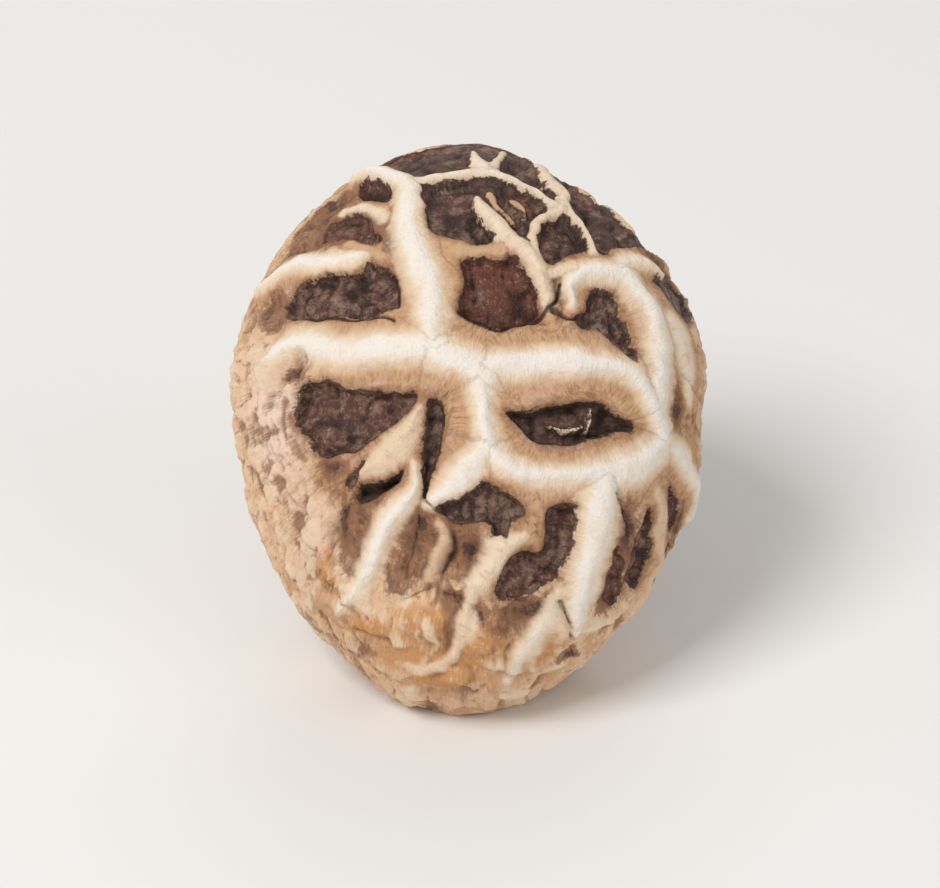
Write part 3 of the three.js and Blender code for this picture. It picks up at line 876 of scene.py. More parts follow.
@dataclass(frozen=True)
class Flakes:
    """The overlapping flakes of the low and left edges: long cells, each rising away from the crown to an
    edge that stands over the next."""

    count: int = 520
    seed: int = 11
    stretch: float = 1.7
    furthest: float = 40.0
    length: float = 3.4
    seam: Ramp = Ramp(0.0, 0.3)

    def measure(self, flat: np.ndarray) -> tuple[np.ndarray, np.ndarray, np.ndarray]:
        """Measures the flakes.

        Args:
            flat: Points of the laid-out skin.

        Returns:
            The flakes' height and each one's shade, both from 0 to 1, with the distance in from their seams
            between the two.
        """
        rng = np.random.default_rng(self.seed)
        angle = rng.uniform(0, TURN, self.count)
        reach = self.furthest * np.sqrt(rng.uniform(0, 1, self.count))
        seeds = np.stack([reach * np.cos(angle), reach * np.sin(angle)], axis=-1)
        cells = Cells.about(flat, seeds, self.stretch)
        height = np.clip(0.5 + cells.outwards / self.length, 0, 1) * self.seam(cells.inset)
        return height, cells.inset, rng.uniform(0, 1, self.count)[cells.number]


# Meshes


@dataclass
class Skin:
    """A closed surface on a grid of rings and columns, whose first and last rings are single points."""

    name: str
    rings: np.ndarray
    marks: dict[str, np.ndarray]

    def _flatten(self, grid: np.ndarray) -> np.ndarray:
        """The grid's values in vertex order: the first pole, the rings between, and the last pole."""
        body = grid[1:-1].reshape((-1,) + grid.shape[2:])
        return np.concatenate([grid[1].mean(axis=0)[None], body, grid[-2].mean(axis=0)[None]])

    def _faces(self) -> list[list[int]]:
        """Fans at both poles and a band of four-sided faces between each two rings, all facing outwards.

        Returns:
            Each face's vertices.
        """
        rings, columns = self.rings.shape[0] - 2, self.rings.shape[1]
        here = np.arange(columns)
        following = (here + 1) % columns
        start = (1 + np.arange(rings - 1) * columns)[:, None]
        corners = [start + here, start + columns + here, start + columns + following, start + following]
        quads = np.stack(corners, axis=-1).reshape(-1, 4)
        last_pole, last_ring = 1 + rings * columns, 1 + (rings - 1) * columns
        first_fan = np.stack([np.zeros(columns, int), 1 + here, 1 + following], axis=1)
        last_fan = np.stack([np.full(columns, last_pole), last_ring + following, last_ring + here], axis=1)
        return first_fan.tolist() + quads.tolist() + last_fan.tolist()

    def build(self, material: bpy.types.Material) -> bpy.types.Object:
        """Makes the mesh object, with its marks as attributes, and lets it stand for the mushroom's node.

        Args:
            material: The finish of the whole piece.

        Returns:
            The new object.
        """
        mesh = bpy.data.meshes.new(self.name)
        mesh.from_pydata(self._flatten(self.rings).tolist(), [], self._faces())
        for mark, grid in self.marks.items():
            kind, key = ("FLOAT_VECTOR", "vector") if grid.ndim == 3 else ("FLOAT", "value")
            attribute = mesh.attributes.new(mark, kind, "POINT")
            attribute.data.foreach_set(key, self._flatten(grid).astype(np.float32).ravel())
        mesh.polygons.foreach_set("use_smooth", np.ones(len(mesh.polygons), bool))
        mesh.materials.append(material)
        mesh.update()
        piece = bpy.data.objects.new(self.name, mesh)
        bpy.context.scene.collection.objects.link(piece)
        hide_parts(NODE)
        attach(piece, BODY)
        log.info("%s: %d vertices, %d faces", self.name, len(mesh.vertices), len(mesh.polygons))
        return piece


def outward(points: np.ndarray) -> np.ndarray:
    """The outward unit normals of a grid of rings: the cross product of the steps down and along the rings.

    Args:
        points: A grid of points, which closes along its columns.

    Returns:
        Unit vectors, which are those of the next ring where a ring is a single point.
    """
    along = np.roll(points, -1, axis=1) - np.roll(points, 1, axis=1)
    normals = np.cross(np.gradient(points, axis=0), along)
    normals = normals / np.maximum(np.linalg.norm(normals, axis=-1, keepdims=True), 1e-9)
    normals[0] = normals[1].mean(axis=0)
    normals[-1] = normals[-2].mean(axis=0)
    return normals


# Finishes


def tint(*screen: int) -> Colour:
    """The linear colour that a shader takes, for a screen's red, green and blue from 0 to 255."""
    linear = (c / 12.92 if c <= 0.04045 else ((c + 0.055) / 1.055) ** 2.4 for c in np.array(screen) / 255)
    return (*linear, 1.0)


class Wiring:
    """A material's nodes, with a short call for each kind that the finishes use."""

    roughness_of_noise = 0.6
    scatter_radius = (1.0, 0.5, 0.3)
    scatter_depth = 0.6 * MM
    specular = 0.3

    def __init__(self, name: str) -> None:
        """Starts an empty material with its shader and output.

        Args:
            name: The material's name.
        """
        self.material = bpy.data.materials.new(name)
        self.material.use_nodes = True
        self.tree = self.material.node_tree
        self.tree.nodes.clear()
        self.shader = self.node("BsdfPrincipled", {})
        self.node("OutputMaterial", {"Surface": self.shader.outputs["BSDF"]})
        self.place = self.node("TexCoord", {}).outputs["Object"]

    def feed(self, socket: Socket, value: object) -> None:
        """Links a socket to another's output, or sets its own value.

        Args:
            socket: The socket.
            value: The output or the value.
        """
        if isinstance(value, bpy.types.NodeSocket):
            self.tree.links.new(value, socket)
        else:
            socket.default_value = value

    def node(self, kind: str, feeds: dict[Union[int, str], object], **choices: str) -> bpy.types.Node:
        """Adds a node.

        Args:
            kind: The end of its type's name.
            feeds: What each of its inputs is fed.
            choices: The node's own options.

        Returns:
            The node.
        """
        node = self.tree.nodes.new("ShaderNode" + kind)
        for option, choice in choices.items():
            setattr(node, option, choice)
        for key, value in feeds.items():
            self.feed(node.inputs[key], value)
        return node

    def mark(self, name: str, output: str = "Fac") -> Socket:
        """What the mesh carries under a name: a number, or with the output "Vector" a vector."""
        return self.node("Attribute", {}, attribute_name=name).outputs[output]

    def noise(
        self, size: float, detail: float = 4.0, where: Optional[Socket] = None, twist: float = 0.0
    ) -> Socket:
        """Cloudy noise from 0 to 1.

        Args:
            size: The size of its clouds, in millimetres.
            detail: How many finer layers it has.
            where: The vector it is read at, in millimetres, or None for the object's own space.
            twist: How much it is distorted.

        Returns:
            The noise's number.
        """
        scale = 1 / (size * MM) if where is None else 1 / size
        feeds = {"Vector": where or self.place, "Scale": scale, "Detail": detail,
                 "Roughness": self.roughness_of_noise, "Distortion": twist}
        return self.node("TexNoise", feeds).outputs["Fac"]

    def sum(self, a: Value, b: Value) -> Socket:
        """a + b."""
        return self.node("Math", {0: a, 1: b}, operation="ADD").outputs[0]

    def times(self, a: Value, b: Value) -> Socket:
        """a times b."""
        return self.node("Math", {0: a, 1: b}, operation="MULTIPLY").outputs[0]

    def ragged(self, value: Value, *layers: tuple[Socket, float]) -> Value:
        """A value pushed up and down by noises.

        Args:
            value: The value.
            layers: Each noise, and how far it pushes from its lowest to its highest.

        Returns:
            The value + (noise - 0.5) times amount, summed over the noises.
        """
        for noise, amount in layers:
            value = self.sum(value, self.times(self.sum(noise, -0.5), amount))
        return value

    def step(self, value: Value, low: float, high: float, start: float = 0.0, end: float = 1.0) -> Socket:
        """Eases from one number to another while the value goes from low to high.

        Args:
            value: What is read.
            low: Where the step begins.
            high: Where it ends. It may be less than low.
            start: The result up to low.
            end: The result from high on.

        Returns:
            The eased number.
        """
        if high < low:
            low, high, start, end = high, low, end, start
        feeds = {"Value": value, "From Min": low, "From Max": high, "To Min": start, "To Max": end}
        return self.node("MapRange", feeds, interpolation_type="SMOOTHSTEP").outputs["Result"]

    def mix(self, share: Value, a: Paint, b: Paint) -> Socket:
        """A mix of two colours: a where the share is 0 and b where it is 1."""
        return self.node("Mix", {0: share, 6: a, 7: b}, data_type="RGBA").outputs[2]

    def mix_number(self, share: Value, a: Socket, b: Socket) -> Socket:
        """A mix of two numbers: a where the share is 0 and b where it is 1."""
        return self.node("Mix", {0: share, 2: a, 3: b}).outputs[0]

    def over(
        self, below: Paint, paint: Paint, where: Value, off: float, full: float, share: float = 1.0
    ) -> Socket:
        """Paint over a colour: none of it where the number is off, and the share of it where it is full."""
        return self.mix(self.step(where, off, full, 0.0, share), below, paint)

    def bump(self, height: Socket, depth: float, strength: float, below: Optional[Socket] = None) -> Socket:
        """Fine relief.

        Args:
            height: The relief's height, from 0 to 1.
            depth: How deep that is, in millimetres.
            strength: How much of it is used.
            below: The normal of coarser relief that it lies on.

        Returns:
            The normal.
        """
        feeds = {"Strength": strength, "Distance": depth * MM, "Height": height}
        if below is not None:
            feeds["Normal"] = below
        return self.node("Bump", feeds).outputs["Normal"]

    def finish(self, colour: Socket, roughness: Value, normal: Optional[Socket], scatter: float) -> None:
        """Feeds the shader.

        Args:
            colour: The surface's colour.
            roughness: Its roughness.
            normal: Its normal, or None for the mesh's own.
            scatter: How much light goes a little way into the surface, 0 for none.
        """
        feeds = {
            "Base Color": colour,
            "Roughness": roughness,
            "Subsurface Weight": scatter,
            "Subsurface Radius": self.scatter_radius,
            "Subsurface Scale": self.scatter_depth,
            "Specular IOR Level": self.specular,
        }
        if normal is not None:
            feeds["Normal"] = normal
        for name, value in feeds.items():
            self.feed(self.shader.inputs[name], value)


@dataclass(frozen=True)
class CapNoises:
    """The noises that roughen the cap's colours and relief, each from 0 to 1."""

    cloud: Socket
    lump: Socket
    grit: Socket
    dust: Socket
    fibre: Socket
    tear: Socket
    rip: Socket
    streak: Socket

    @classmethod
    def of(cls, w: Wiring) -> "CapNoises":
        """Adds the noises: four in space from broad to fine, fibres away from the crown, fine and coarse
        tears across the ribs, and streaks, which are fibres on golden flesh and fine tears elsewhere.

        Args:
            w: The material's wiring.

        Returns:
            The noises.
        """
        cloud, lump = w.noise(size=3.2), w.noise(size=0.9)
        grit, dust = w.noise(size=0.32, detail=3), w.noise(size=0.12, detail=2)
        along = w.mark("tear", "Vector")
        fibre = w.noise(size=0.2, detail=3, where=w.mark("radial", "Vector"), twist=0.4)
        tear = w.noise(size=0.24, detail=3, where=along, twist=0.3)
        rip = w.noise(size=0.7, detail=4, where=along, twist=0.6)
        return cls(cloud, lump, grit, dust, fibre, tear, rip, w.mix_number(w.mark("gold"), tear, fibre))


@dataclass(frozen=True)
class CapFinish:
    """The cap: white-crested ribs, tan skirts, dark speckled scales and a golden, flaky low edge."""

    name: str = "cracked_cap"
    white: Colour = tint(244, 234, 222)
    cream: Colour = tint(238, 214, 184)
    tan: Colour = tint(206, 163, 124)
    brown: Colour = tint(144, 101, 73)
    bark: Colour = tint(108, 74, 58)
    gold: Colour = tint(234, 197, 160)
    pink: Colour = tint(220, 174, 150)
    amber: Colour = tint(202, 144, 90)
    dark: Colour = tint(84, 62, 54)
    umber: Colour = tint(140, 109, 93)
    maroon: Colour = tint(112, 62, 44)
    painted_light: Colour = tint(242, 212, 188)
    speck_and_highlight: Colour = tint(178, 150, 132)
    shadow: Colour = tint(42, 28, 24)
    flesh_roughness: float = 0.84
    skin_roughness: float = 0.5
    scatter: float = 0.05

    def build(self) -> bpy.types.Material:
        """Makes the material: flesh under everything, then crests and scales over it, with painted shade
        inside the scales' edges and in the crevices.

        Returns:
            The material.
        """
        w = Wiring(self.name)
        n = CapNoises.of(w)
        crest = w.ragged(w.mark("crest"), (n.lump, 0.8), (n.rip, 0.6), (n.tear, 0.2))
        flank = w.ragged(w.mark("flank"), (n.lump, 0.5), (n.rip, 0.6), (n.tear, 0.2))
        scale = w.ragged(w.mark("scale"), (n.lump, 1.0), (n.rip, 0.25), (n.grit, 0.25))

        edge = w.over(self.tan, self.cream, w.mark("paleness"), off=0.0, full=0.45)
        colour = w.over(self._flesh(w, n, flank, scale), edge, flank, off=0.75, full=-0.1, share=0.9)
        colour = w.over(colour, self._crests(w, n, edge), crest, off=0.15, full=-0.7)

        on_scale = w.step(scale, -0.04, 0.12)
        colour = w.mix(on_scale, colour, self._skin(w, n))
        # Painted shade just inside each scale's edge, under the wall that it sinks behind.
        rim = w.times(on_scale, w.step(scale, 0.5, 0.05, end=0.55))
        colour = w.mix(rim, colour, self.shadow)
        # Painted shade in the crevices.
        crevice = w.ragged(w.mark("crevice"), (n.grit, 0.4), (n.lump, 0.4))
        colour = w.over(colour, self.shadow, crevice, off=0.25, full=0.8, share=0.85)

        relief = w.bump(n.lump, depth=0.5, strength=0.35)
        relief = w.bump(n.streak, depth=0.22, strength=0.55, below=relief)
        relief = w.bump(w.times(n.grit, w.sum(0.5, on_scale)), depth=0.26, strength=0.7, below=relief)
        relief = w.bump(n.dust, depth=0.06, strength=0.5, below=relief)
        roughness = w.step(on_scale, 0, 1, self.flesh_roughness, self.skin_roughness)
        w.finish(colour, roughness, relief, self.scatter)
        return w.material

    def _crests(self, w: Wiring, n: CapNoises, edge: Socket) -> Socket:
        """The ribs' crests: white on the palest, clouded with cream, and frayed to tan on the duller ones.

        Args:
            w: The material's wiring.
            n: Its noises.
            edge: The colour of the ribs' edges.

        Returns:
            The crests' colour.
        """
        paleness = w.mark("paleness")
        pale = w.over(edge, self.white, paleness, off=0.3, full=1.0)
        pale = w.over(pale, self.cream, w.ragged(n.cloud, (n.tear, 0.3)), off=0.46, full=0.7, share=0.5)
        frayed = w.step(w.ragged(n.rip, (n.lump, 0.8)), 0.5, 0.7)
        return w.mix(w.times(frayed, w.step(paleness, 0.9, 0.3, end=0.75)), pale, self.tan)

    def _flesh(self, w: Wiring, n: CapNoises, flank: Socket, scale: Socket) -> Socket:
        """The flesh between ribs and scales: tan, torn in brown streaks across the ribs, leathery in patches
        and stained in others, some of the stains being painted shade, brown round the scales, and made of
        golden flakes on the low and left edges.

        Args:
            w: The material's wiring.
            n: Its noises.
            flank: The distance out of the ribs' edges, in shares of their size.
            scale: The signed distance into the scales.

        Returns:
            The flesh's colour.
        """
        torn = w.over(self.brown, self.tan, n.tear, off=0.34, full=0.58)
        torn = w.over(torn, self.tan, flank, off=1.8, full=0.4, share=0.6)
        torn = w.over(torn, self.pink, n.cloud, off=0.5, full=0.72, share=0.6)
        flesh = w.mix(w.mark("gold"), torn, self._flakes(w, n))
        umber = w.ragged(w.mark("umber"), (n.lump, 1.0), (n.streak, 0.4))
        flesh = w.over(flesh, self._leather(w, n), umber, off=0.26, full=0.56, share=0.9)
        # Brown stains, and painted shade where the stains stand for it.
        stain_and_shade = w.ragged(w.mark("stain_and_shade"), (n.lump, 1.0), (n.streak, 0.7), (n.grit, 0.4))
        flesh = w.over(flesh, self.brown, stain_and_shade, off=0.28, full=0.6, share=0.85)
        flesh = w.over(flesh, self.dark, stain_and_shade, off=0.68, full=0.98, share=0.9)
        streaked = w.step(w.ragged(n.streak, (n.grit, 0.4)), 0.35, 0.65, 0.2, 0.9)
        return w.mix(w.times(w.step(scale, -0.9, -0.05), streaked), flesh, self.brown)

    def _leather(self, w: Wiring, n: CapNoises) -> Socket:
        """Worn leathery skin: bark brown, worn through to brown and tan, with painted shade in its wrinkles.

        Args:
            w: The material's wiring.
            n: Its noises.

        Returns:
            The skin's colour.
        """
        worn = w.ragged(n.lump, (n.cloud, 0.9), (n.streak, 0.7), (n.grit, 0.3))
        leather = w.over(self.bark, self.brown, worn, off=0.3, full=0.52)
        leather = w.over(leather, self.tan, worn, off=0.52, full=0.86)
        # Painted shade in the deepest wrinkles.
        return w.mix(w.times(w.mark("wrinkle_shade"), 0.8), leather, self.dark)

    def _flakes(self, w: Wiring, n: CapNoises) -> Socket:
        """The golden flakes, which run from tan to gold, pink and cream, amber in patches, paler on the left
        as painted light, with a painted highlight on the tops of the folds, brown in the broken seams, and
        painted shade in the folds' hollows.

        Args:
            w: The material's wiring.
            n: Its noises.

        Returns:
            The flakes' colour.
        """
        shade = w.ragged(0.5, (n.cloud, 1.3), (n.lump, 0.5), (n.fibre, 0.45), (w.mark("shade"), 0.3))
        flake = w.over(self.tan, self.gold, shade, off=0.25, full=0.6)
        flake = w.over(flake, self.pink, w.ragged(n.lump, (n.cloud, 0.6)), off=0.5, full=0.7, share=0.7)
        flake = w.over(flake, self.cream, shade, off=0.6, full=1.0, share=0.7)
        lump = w.ragged(n.lump, (n.cloud, 0.6), (n.fibre, 0.5))
        honey = w.over(self.amber, self.gold, lump, off=0.5, full=0.78)
        amber = w.ragged(w.mark("amber"), (n.lump, 0.8))
        flake = w.over(flake, honey, amber, off=0.1, full=0.7, share=0.92)
        # Painted light: paler on the left, where the light falls.
        painted_light = w.ragged(w.mark("painted_light"), (n.lump, 1.0), (n.fibre, 0.5))
        flake = w.over(flake, self.painted_light, painted_light, off=0.1, full=0.9, share=0.92)
        fold = w.mark("fold")
        # Painted highlight: cream on the tops of the folds.
        flake = w.over(flake, self.cream, w.ragged(fold, (n.fibre, 0.4)), off=0.66, full=1.1, share=0.8)
        broken = w.step(w.ragged(n.cloud, (n.lump, 0.7)), 0.5, 0.66, end=0.7)
        flake = w.mix(w.times(w.step(w.mark("seam"), 0.3, 0.04), broken), flake, self.brown)
        # Painted shade: brown in the folds' hollows.
        hollow = w.ragged(fold, (n.fibre, 0.5), (n.lump, 0.3))
        return w.over(flake, self.brown, hollow, off=0.46, full=-0.05, share=0.85)

    def _skin(self, w: Wiring, n: CapNoises) -> Socket:
        """The skin of the scales: dark and umber lumps, red-brown by tone, darker where the tone is lowest,
        which on the high rim is partly painted shade, with pale specks that are partly worn and partly
        painted highlight, and painted shade in the wrinkles.

        Args:
            w: The material's wiring.
            n: Its noises.

        Returns:
            The skin's colour.
        """
        tone = w.mark("tone")
        skin = w.over(self.dark, self.umber, w.ragged(n.lump, (n.tear, 0.7)), off=0.4, full=0.62)
        # Pale specks and worn patches, partly worn flecks of the skin and partly painted highlight.
        worn = w.ragged(n.cloud, (n.lump, 0.5), (n.tear, 0.4))
        skin = w.over(skin, self.speck_and_highlight, worn, off=0.52, full=0.72, share=0.5)
        skin = w.mix(w.times(tone, w.step(n.cloud, 0.25, 0.5)), skin, self.maroon)
        skin = w.over(skin, self.umber, w.ragged(n.grit, (n.tear, 0.7)), off=0.56, full=0.7, share=0.6)
        # More pale specks, partly painted highlight.
        specks = w.ragged(n.grit, (n.dust, 0.3), (n.lump, 0.6))
        skin = w.over(skin, self.speck_and_highlight, specks, off=0.62, full=0.76, share=0.75)
        # Darker where the tone is lowest: dark skin, and on the high rim, whose tone is 0, partly painted
        # shade.
        skin = w.over(skin, self.dark, tone, off=0.2, full=0.0, share=0.75)
        # Painted shade in the deepest wrinkles.
        return w.mix(w.times(w.mark("wrinkle_shade"), 0.85), skin, self.shadow)


@dataclass(frozen=True)
class GillFinish:
    """The gills: cream blades browned in clouds, with painted shade between them."""

    name: str = "gills"
    cream: Colour = tint(214, 184, 142)
    tan: Colour = tint(176, 134, 92)
    brown: Colour = tint(112, 76, 50)
    gap_shade: Colour = tint(84, 56, 38)
    roughness: Range = (0.78, 0.92)
    scatter: float = 0.08

    def build(self) -> bpy.types.Material:
        """Makes the material from browned clouds, and painted shade that grows with the depth between the
        blades.

        Returns:
            The material.
        """
        w = Wiring(self.name)
        cloud, fleck, grit = w.noise(size=4.0), w.noise(size=0.8), w.noise(size=0.25, detail=3)
        blade = w.over(self.cream, self.tan, cloud, off=0.36, full=0.64)
        blade = w.over(blade, self.brown, fleck, off=0.55, full=0.72, share=0.5)
        # Painted shade between the blades, darkest where they are deepest.
        blade = w.over(blade, self.gap_shade, w.mark("depth"), off=0.15, full=0.95)
        relief = w.bump(fleck, depth=0.3, strength=0.4)
        relief = w.bump(grit, depth=0.12, strength=0.5, below=relief)
        w.finish(blade, w.step(grit, 0.3, 0.7, *self.roughness), relief, self.scatter)
        return w.material


@dataclass(frozen=True)
class StemFinish:
    """The stem: pale tan, fibrous, browner at its foot, painted shade in its grooves, and a dark, spongy cut
    end.
    """

    name: str = "stem"
    cream: Colour = tint(212, 182, 146)
    tan: Colour = tint(178, 138, 102)
    brown: Colour = tint(122, 84, 60)
    dark: Colour = tint(74, 50, 38)
    roughness: Range = (0.8, 0.92)
    scatter: float = 0.06

    def build(self) -> bpy.types.Material:
        """Makes the material from fibres along the stem, with scaly brown patches, painted shade in the
        deepest grooves, and a browner cut end.

        Returns:
            The material.
        """
        w = Wiring(self.name)
        fibre = w.noise(size=0.22, where=w.mark("fibre", "Vector"), twist=0.4)
        cloud, fleck, grit = w.noise(size=3.0), w.noise(size=0.7), w.noise(size=0.22, detail=3)
        side = w.over(self.tan, self.cream, fibre, off=0.36, full=0.62)
        scaly = w.times(w.step(cloud, 0.46, 0.64), w.step(fibre, 0.42, 0.6, end=0.7))
        side = w.mix(scaly, side, self.brown)
        side = w.mix(w.times(w.mark("foot"), 0.6), side, self.brown)
        # Painted shade in the deepest grooves.
        side = w.mix(w.times(w.mark("wrinkle_shade"), 0.75), side, self.dark)
        cut = w.over(self.brown, self.tan, fleck, off=0.4, full=0.65)
        cut = w.over(cut, self.dark, grit, off=0.58, full=0.7, share=0.7)
        relief = w.bump(fleck, depth=0.4, strength=0.4)
        relief = w.bump(fibre, depth=0.3, strength=0.6, below=relief)
        relief = w.bump(grit, depth=0.14, strength=0.6, below=relief)
        colour = w.mix(w.mark("cut"), side, cut)
        w.finish(colour, w.step(grit, 0.3, 0.7, *self.roughness), relief, self.scatter)
        return w.material


# Sub-assemblies


@dataclass
class Cap:
    """The cap: its cracked dome, rolled margin and curl, closed by a ceiling that the gills hide.

    Sizes and places are in millimetres in the cap's frame, and the ramps are over stations or distances.
    """

    form: CapForm
    lie: Lie
    finish: CapFinish = CapFinish()
    columns: int = 500
    # The rings of the dome, the margin, the curl and the ceiling, and where the pattern fades on the curl.
    rings: tuple[int, ...] = (122, 40, 20, 12)
    pattern_end: float = 2.4
    fade: Ramp = Ramp(3.0, 2.4)
    lip: Ramp = Ramp(1.45, 1.95)
    # Where the network of cells takes over: past the widest line, and sooner along the high edge.
    rim: Ramp = Ramp(1.02, 1.12)
    rim_sooner: float = 0.3
    crack_width: float = 0.3
    crack_growth: Ramp = Ramp(0.95, 1.4, 0.3)
    # Where all between the ribs is dark skin: furthest in at one angle, and past the rim on both sides of it.
    crown_skin_angle: float = math.radians(77)
    crown_skin_start: float = 0.36
    crown_skin_recess: Ramp = Ramp(0.35, 1.0, 0.9)
    # Where the flesh is golden: on the low edge, on the left below a height, on the lip and between the ribs.
    gold_ragged: Lumps = Lumps(3, 5.0, 3.0)
    gold_low: Ramp = Ramp(-13.0, -20.0)
    gold_left: Ramp = Ramp(-13.0, -17.0)
    gold_left_top: Ramp = Ramp(9.0, 3.0)
    gold_lip: Ramp = Ramp(1.5, 1.9, 0.5)
    gold_between: Ramp = Ramp(1.4, 3.0, 0.85)
    # How scales shrink on golden flesh past the rim, and on the lip, which is bare.
    gold_shrink: Ramp = Ramp(0.2, 0.8)
    gold_shrink_most: float = 1.6
    lip_shrink: float = 3.0
    lip_bare: float = 2.0
    # What the pattern and the flakes are swayed by.
    sways: tuple[Lumps, ...] = (Lumps(3, 2.4), Lumps(3, 2.4, shift=31.0))
    pattern_sway: float = 0.36
    flake_sway: float = 0.9
    # The fibres away from the crown, and the creases of leathery skin, which run round the crown on the
    # left.
    fibre_stretch: float = 0.12
    leather_stretch: Place = (1.0, 1.0, 6.0)
    leather_left: Place = (-0.5, -0.5, 8.0)
    left: Ramp = Ramp(0.2, 0.9)
    leather_sway: Lumps = Lumps(3, 5.0, 1.4, shift=3.0)
    # The folds of the flesh: flakes, fibres and creases on a level, the middle of what they come to, and how
    # high the flesh is folded, plain or golden, from the ribs' edges out.
    flake_height: float = 0.45
    fibres: Lumps = Lumps(3, 0.9, 0.2)
    creases: Creases = Creases(8, 4.2, 0.6)
    fold_level: float = 0.8
    fold_middle: float = 0.5
    fold_plain: float = 0.08
    fold_gold: float = 0.5
    fold_place: Ramp = Ramp(-0.8, 0.6)
    # The lumps, wrinkles, puckers and grain that the skin is pushed out by.
    lumps: Lumps = Lumps(3, 9.0, 0.4)
    on_scale: Ramp = Ramp(0.0, 0.5)
    sunk: Ramp = Ramp(-0.25, 0.4)
    wrinkles: Creases = Creases(8, 2.6)
    wrinkle_depth: float = 0.26
    # Where the wrinkles are deep enough to get painted shade.
    wrinkle_shade_ramp: Ramp = Ramp(-0.7, -1.4)
    puckers: Creases = Creases(8, 4.4, 0.45, layers=2, shift=17.0)
    grain: Lumps = Lumps(8, 0.8, 0.05, layers=2)

    def _stations(self) -> np.ndarray:
        """Spaces the rings evenly over each part of the cap.

        Returns:
            Their stations, from the crown to the middle of the ceiling, in a column.
        """
        last = len(self.rings) - 1
        parts = [np.linspace(k, k + 1, rings, endpoint=k == last) for k, rings in enumerate(self.rings)]
        return np.concatenate(parts)[:, None]

    def _rim_share(self, station: np.ndarray, angle: np.ndarray) -> np.ndarray:
        """Where the network of cells takes over from the drawn pattern, from 0 to 1."""
        return self.rim(station + self.rim_sooner * np.maximum(np.sin(angle), 0) ** 2)

    def _crown_skin(self, station: np.ndarray, angle: np.ndarray) -> np.ndarray:
        """The signed distance into the dark skin of the high rim."""
        start = self.crown_skin_start + self.crown_skin_recess(np.abs(angle - self.crown_skin_angle))
        return self.form.arc(station) - self.form.arc(start)

    def _gold_share(self, base: np.ndarray, station: np.ndarray) -> np.ndarray:
        """Where the flesh is golden: over the low edge, the left edge and, by half, the lip.

        Args:
            base: Points of the smooth cap.
            station: Their stations.

        Returns:
            The share of gold, from 0 to 1.
        """
        x, y = base[..., 0], base[..., 1]
        ragged = self.gold_ragged(base)
        edge = np.maximum(self.gold_low(y + ragged), self.gold_left(x + ragged) * self.gold_left_top(y))
        return np.maximum(edge, self.gold_lip(station))

    def _folds(
        self, base: np.ndarray, angle: np.ndarray, radial: np.ndarray, flakes: np.ndarray
    ) -> np.ndarray:
        """The folds of the flesh: flakes, fibres and leathery creases, summed.

        Args:
            base: Points of the smooth cap.
            angle: Their angles.
            radial: Where the fibres are read, which changes slowly away from the crown.
            flakes: The flakes' heights, from 0 to 1.

        Returns:
            The folds' heights, about 0.5 in the middle.
        """
        left = self.left(-np.cos(angle))[..., None]
        leather = radial * (np.array(self.leather_stretch) + left * self.leather_left)
        creases = self.creases(leather + self.leather_sway(base)[..., None])
        return self.flake_height * flakes + self.fibres(radial) + self.fold_level + creases

    def build(self) -> bpy.types.Object:
        """Makes the cap: the smooth form, pushed out and in along its normals by the pattern and the grain.

        Returns:
            The cap's object.
        """
        angle = np.linspace(0, TURN, self.columns, endpoint=False)[None, :]
        station = self._stations()
        base = self.form.surface(station, angle)
        normals = outward(base)
        station, angle = np.broadcast_arrays(station, angle)

        flat = self.form.spread_out(np.minimum(station, self.pattern_end), angle)
        sway = np.stack([lumps(base) for lumps in self.sways], axis=-1)
        pattern = Cracking(self.form)
        rim = self._rim_share(station, angle)
        crack = self.crack_width + self.crack_growth(station)
        pattern.measure(flat + self.pattern_sway * sway, rim, crack, self._crown_skin(station, angle))

        gold = np.maximum(self._gold_share(base, station), self.gold_between(pattern.crest))
        lip = self.lip(station)
        scale = pattern.scale - self.gold_shrink_most * gold * self.gold_shrink(rim) - self.lip_shrink * lip
        skin = self.on_scale(scale)
        wrinkles = self.wrinkles(base)
        leathery = np.maximum(skin, pattern.hues[Hue.UMBER])
        reach = self.form.mean_radius
        radial = [reach * np.cos(angle), reach * np.sin(angle), self.fibre_stretch * self.form.arc(station)]
        radial = np.stack(radial, axis=-1)
        flakes, seam, shade = Flakes().measure(flat + self.flake_sway * sway)
        fold = self._folds(base, angle, radial, flakes)

        push = self.lumps(base) + pattern.rise * (1 - lip) - pattern.sink * self.sunk(scale) - pattern.notch
        push += leathery * self.wrinkle_depth * wrinkles
        push += pattern.hues[Hue.UMBER] * (1 - skin) * self.puckers(base)
        fold_height = (self.fold_plain + self.fold_gold * gold) * self.fold_place(pattern.crest)
        push += (1 - skin) * fold_height * (fold - self.fold_middle)
        push += self.grain(base)
        push *= self.fade(station)

        marks = {
            "crest": pattern.crest + self.lip_bare * lip,
            "flank": pattern.flank + self.lip_bare * lip,
            "paleness": pattern.paleness,
            "scale": scale,
            "tone": pattern.tone,
            "crevice": pattern.crevice,
            "gold": gold,
            "fold": fold,
            "seam": seam,
            "shade": shade,
            # Painted shade in the deepest wrinkles of the scales and the leathery patches.
            "wrinkle_shade": leathery * self.wrinkle_shade_ramp(wrinkles),
            "radial": radial,
            "tear": pattern.tear,
            **{hue.value: share for hue, share in pattern.hues.items()},
        }
        points = base + normals * push[..., None]
        return Skin("cap", self.lie.place(points), marks).build(self.finish.build())


